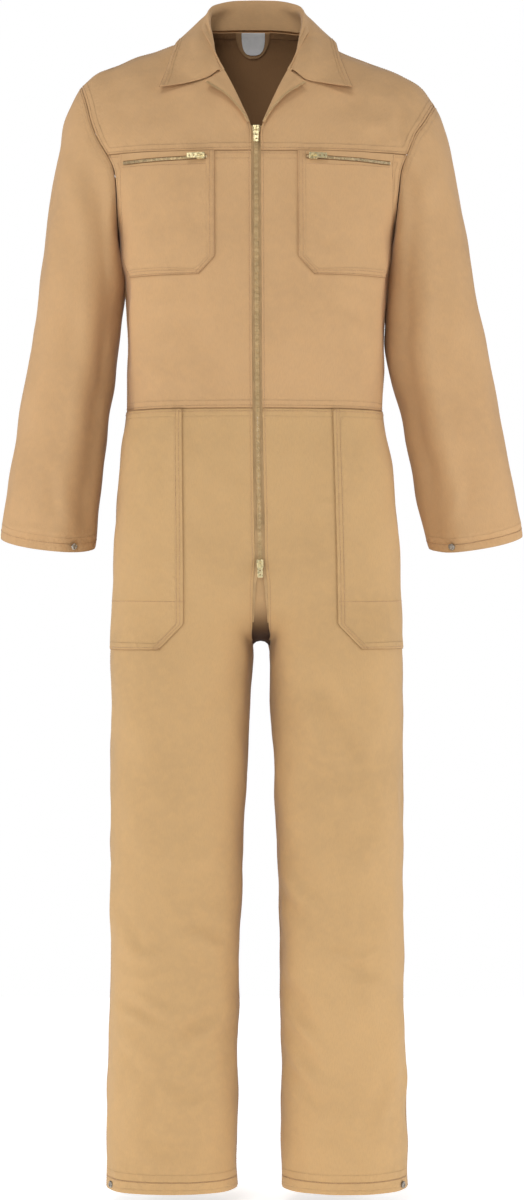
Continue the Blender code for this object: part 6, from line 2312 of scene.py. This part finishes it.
@dataclass
class FrontZip:
    """The front zip's tapes and the strip of cloth behind its open lower end.

    Args:
        garment: The garment it closes.
        lip: Distance from the middle and z of the strip's arched lower end.
    """

    garment: Garment
    lip: Table = ((-0.0190, -0.8140), (-0.0108, -0.8090), (-0.0065, -0.8010), (0.0, -0.7978),
                  (0.0065, -0.8010), (0.0108, -0.8090), (0.0190, -0.8140))

    def build(self) -> None:
        """Make the tapes and the strip."""
        g = self.garment
        for side in Side:
            surface = g.surface(f"tape_{side.word}", lambda: g.zip.tape(side), (0, -1, 0))
            g.sew(f"zip_tape_half_{side.word}", surface, Shell(low=-0.0032, high=-0.0022),
                  Slot.TAPE, (f"zip_tape_{side.word}",), "tape")
        levels = [RISE_START_Z + 0.014, *(rise_z(turn) for turn in (0, 13, 30, 50, 65, 78))]
        rows = [[g.zip.point(offset, z) for offset, _ in self.lip] for z in levels]
        rows.append([(middle(CROTCH_Z) + offset, 0.001, z) for offset, z in self.lip])
        surface = Surface.refined(np.array(rows), (0, -1, 0), step=0.0040)
        # its finish darkens with painted shade towards the crotch
        g.sew("fly_shield", surface, Shell(low=-0.0066, high=-0.0050), Slot.TROUSERS, (), "fly")


@dataclass
class NeckLabel:
    """The half-moon patch inside the back of the neck and the bare label on it.

    Args:
        garment: The garment they are sewn to.
        centre: x of their middle.
        patch: Half width, depth and roundness of the patch.
        label: Half width, depth and roundness of the label.
        rows: Rows of points down each of them.
        columns: Points across each of them.
    """

    garment: Garment
    centre: float = -0.0052
    patch: tuple[float, float, float] = (0.0240, 0.0335, 2.1)
    label: tuple[float, float, float] = (0.0162, 0.0285, 2.9)
    rows: int = 19
    columns: int = 17

    def rounded(self, surface: Surface, half: float, deep: float, roundness: float) -> Surface:
        """A patch that hangs from the neck seam and is rounded below.

        Args:
            surface: The inside of the back near the neck seam.
            half: Half its width.
            deep: How far it hangs down.
            roundness: How square its lower corners are.

        Returns:
            The patch as a surface of its own.
        """
        layers = surface.layers
        every = np.arange(layers.shape[1])
        heights = layers[:, len(every) // 2, 2]
        made = []
        for share in np.linspace(1.0, 0.0, self.rows):
            level = heights[-1] - deep * share
            wide = half * max(1.0 - (share * 0.996) ** roundness, 0.0) ** (1 / roundness)
            place = np.clip(np.searchsorted(heights, level), 1, len(layers) - 1)
            below, above = heights[place - 1:place + 1]
            row = mix(layers[place - 1], layers[place],
                      min(max((level - below) / (above - below), 0.0), 1.0))
            order = np.argsort(row[:, 0])
            at = np.interp(np.linspace(self.centre - wide, self.centre + wide, self.columns),
                           row[order, 0], every[order])
            made.append(read(at, every, row))
        return Surface.of_layers(np.array(made), [0, self.rows - 1], [0, self.columns - 1])

    def build(self) -> None:
        """Make the patch and the label."""
        g = self.garment
        neck = g.trunk.back()[-6:, 7:16]
        surface = Surface.refined(neck, (0, 1, 0), step=0.0020)
        surface = surface.creased(g.creasing)
        g.sew("neck_half_moon", self.rounded(surface, *self.patch),
              Shell(low=-0.0027, high=-0.0018, seams=OUTER), Slot.TWILL, ("neck_patch",),
              "patch")
        g.sew("neck_bare_label", self.rounded(surface, *self.label),
              Shell(low=-0.0036, high=-0.0030), Slot.LABEL, ("neck_label",), "label")


@dataclass
class Teeth:
    """The metal teeth of the open zip edges and the pockets' zips, and the closed chain."""

    garment: Garment

    def build(self) -> None:
        """Make every row of teeth."""
        g = self.garment
        metal, coil = Seams(pitch=0.0017, across=True), Seams(pitch=0.0014, across=True)
        fine = Seams(pitch=0.0014, across=True)
        nodes: dict[str, Sequence[str]] = {"closed_chain": ("zip_chain",)}
        for side in Side:
            name = f"open_teeth_{side.word}"
            fine.add(name, g.facing(side).line(column=-1, inset=0.0014, lift=0.0028))
            nodes[name] = (f"zip_teeth_top_{side.word}",)
            path = ChestPockets(g).zip_line(g.front(side).cut(*CHEST_ZIP_WINDOW))[:, :6]
            path[:, :3] += path[:, 3:] * 0.0018
            name = f"pocket_teeth_{side.word}"
            metal.add(name, path)
            nodes[name] = (f"chest_zip_chain_{side.word}",)
        for offset in (-0.0011, 0.0011):
            coil.add("closed_chain", self.chain(offset))
        metal.build(Repeat("metal_tooth", 0.0032, 0.0011, 0.0001, uneven=0.02),
                    g.finishes["teeth"], Slot.BRASS, nodes)
        fine.build(Repeat("open_tooth", 0.0028, 0.0009, 0.0001, uneven=0.02),
                   g.finishes["coil"], Slot.TAPE, nodes)
        coil.build(Repeat("chain_tooth", 0.0030, 0.0012, 0.0003, uneven=0.03),
                   g.finishes["coil"], Slot.TAPE, nodes)

    def chain(self, offset: float) -> np.ndarray:
        """A line down the closed zip, beside its middle, with normals to the front."""
        g = self.garment
        path = np.array([g.zip.point(0.0, z) for z in
                         (*g.zip.levels(), SLIDER_BOTTOM_Z - 0.003)])
        knots = running(gaps(path))
        lift = g.creasing.lift(path, np.tile((0.0, -1.0, 0.0), (len(path), 1)))
        path[:, 1] += 0.0012 - lift
        path = hermite(path, knots / knots[-1], np.linspace(0.0, 1.0, 260))
        out = np.tile((0.0, -1.0, 0.0), (len(path), 1))
        return np.concatenate((path + (offset, 0.0, 0.0), out), axis=1)


@dataclass
class Hardware:
    """The metal that keeps its CAD shape: sliders, pull tabs and press studs."""

    garment: Garment

    def dress(self) -> None:
        """Give each piece of metal its finish."""
        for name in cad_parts:
            is_stud = name.startswith("snap")
            if is_stud or name.endswith(("_slider", "_pull")):
                key = "steel" if is_stud else "brass"
                node = bpy.data.objects[name]
                node.data.materials.clear()
                node.data.materials.append(self.garment.finishes[key])
                LOG.info("%s keeps its shape, finish %s", name, key)


# -------------------- the studio

LAMPS = (
    # name, place, size, power
    ("left", (-3.2, -0.9, -0.3), 2.2, 55.0), ("right", (3.2, -1.0, -0.4), 2.2, 60.0),
    ("front", (-0.8, -4.4, 0.4), 1.4, 38.5), ("top", (-0.4, -2.4, 2.3), 1.1, 34.0),
    ("back", (0.9, 4.4, 0.8), 2.0, 62.0),
)


@dataclass(frozen=True)
class Studio:
    """Pale floor, soft light and the camera.

    Args:
        floor_z: Height of the floor.
        floor_half: Half the floor's width.
        camera: Place of the camera.
        focal: Focal length in millimetres, on a 36 mm sensor along the picture's long side.
        lit: The point that the lamps are turned to.
    """

    floor_z: float = -1.545
    floor_half: float = 2.2
    camera: tuple[float, float, float] = (0.00665, -4.2, -0.73815)
    focal: float = 94.7
    lit: tuple[float, float, float] = (0.0, 0.0, -0.7)

    def build(self) -> None:
        """Make floor, light and camera."""
        self.floor()
        self.world()
        for lamp in LAMPS:
            self.lamp(*lamp)
        data = bpy.data.cameras.new("camera")
        data.sensor_width = 36.0
        data.lens = self.focal
        data.clip_end = 60.0
        camera = link("camera", data)
        camera.location = self.camera
        camera.rotation_euler = (math.pi / 2, 0.0, 0.0)
        bpy.context.scene.camera = camera
        bpy.context.scene.view_settings.view_transform = "Standard"

    def floor(self) -> None:
        """A pale floor below the hems."""
        mesh = bpy.data.meshes.new("floor")
        corners = ((-1, -1), (1, -1), (1, 1), (-1, 1))
        mesh.from_pydata([(x * self.floor_half, y * self.floor_half, self.floor_z)
                          for x, y in corners], [], [(0, 1, 2, 3)])
        material, tree, shader = new_material("floor_pale")
        uneven = tree.ramp(tree.noise(tree.place(), 1.5), 0.3, 0.7, 0.0, 0.1)
        tree.feed(shader, {
            "Base Color": tree.tint((0.92, 0.92, 0.92, 1.0), uneven, (0.86, 0.86, 0.86, 1.0)),
            "Roughness": 0.9, "Emission Color": (1.0, 1.0, 1.0, 1.0),
            "Emission Strength": 0.56})
        mesh.materials.append(material)
        floor = link("floor", mesh)
        floor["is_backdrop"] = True

    def world(self) -> None:
        """White to the camera, softer as a light."""
        world = bpy.data.worlds.new("studio")
        world.use_nodes = True
        world.node_tree.nodes.clear()
        tree = NodeTree(world.node_tree)
        bright = tree.add("ShaderNodeBackground", {"Color": (1, 1, 1, 1), "Strength": 1.0})
        soft = tree.add("ShaderNodeBackground", {"Color": (0.98, 0.98, 1, 1), "Strength": 0.17})
        seen = tree.add("ShaderNodeLightPath").outputs["Is Camera Ray"]
        tree.add("ShaderNodeOutputWorld",
                 {0: tree.add("ShaderNodeMixShader", {0: seen, 1: soft, 2: bright})})
        bpy.context.scene.world = world

    def lamp(self, name: str, place: tuple[float, float, float], size: float,
             power: float) -> None:
        """A soft square lamp turned to the garment's middle."""
        data = bpy.data.lights.new(name, "AREA")
        data.size = size
        data.energy = power
        lamp = link(name, data)
        lamp.location = place
        toward = Vector(self.lit) - Vector(place)
        lamp.rotation_euler = toward.to_track_quat("-Z", "Y").to_euler()


def plain(box: Sequence[Sequence[float]]) -> list[list[float]]:
    """A box as plain lists of numbers."""
    return [[float(value) for value in corner] for corner in box]


def write_sizes(before: Sequence[Sequence[float]]) -> None:
    """The CAD model's box and the visual model's box, as plain lists; they are not written out."""
    {"cad": plain(before), "visual": plain(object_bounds())}


def main() -> None:
    """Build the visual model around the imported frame."""
    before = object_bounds()
    garment = Garment()
    for part in (BodicePanels, Sleeves, Trousers, CollarAndFacings, ChestPockets, HipPockets,
                 FrontZip, NeckLabel, Teeth):
        part(garment).build()
    garment.seams.build(Repeat("stitch", 0.0027, 0.0007, 0.00025), garment.finishes["thread"],
                        Slot.TWILL)
    Hardware(garment).dress()
    Studio().build()
    write_sizes(before)


if __name__ == "__main__":
    main()
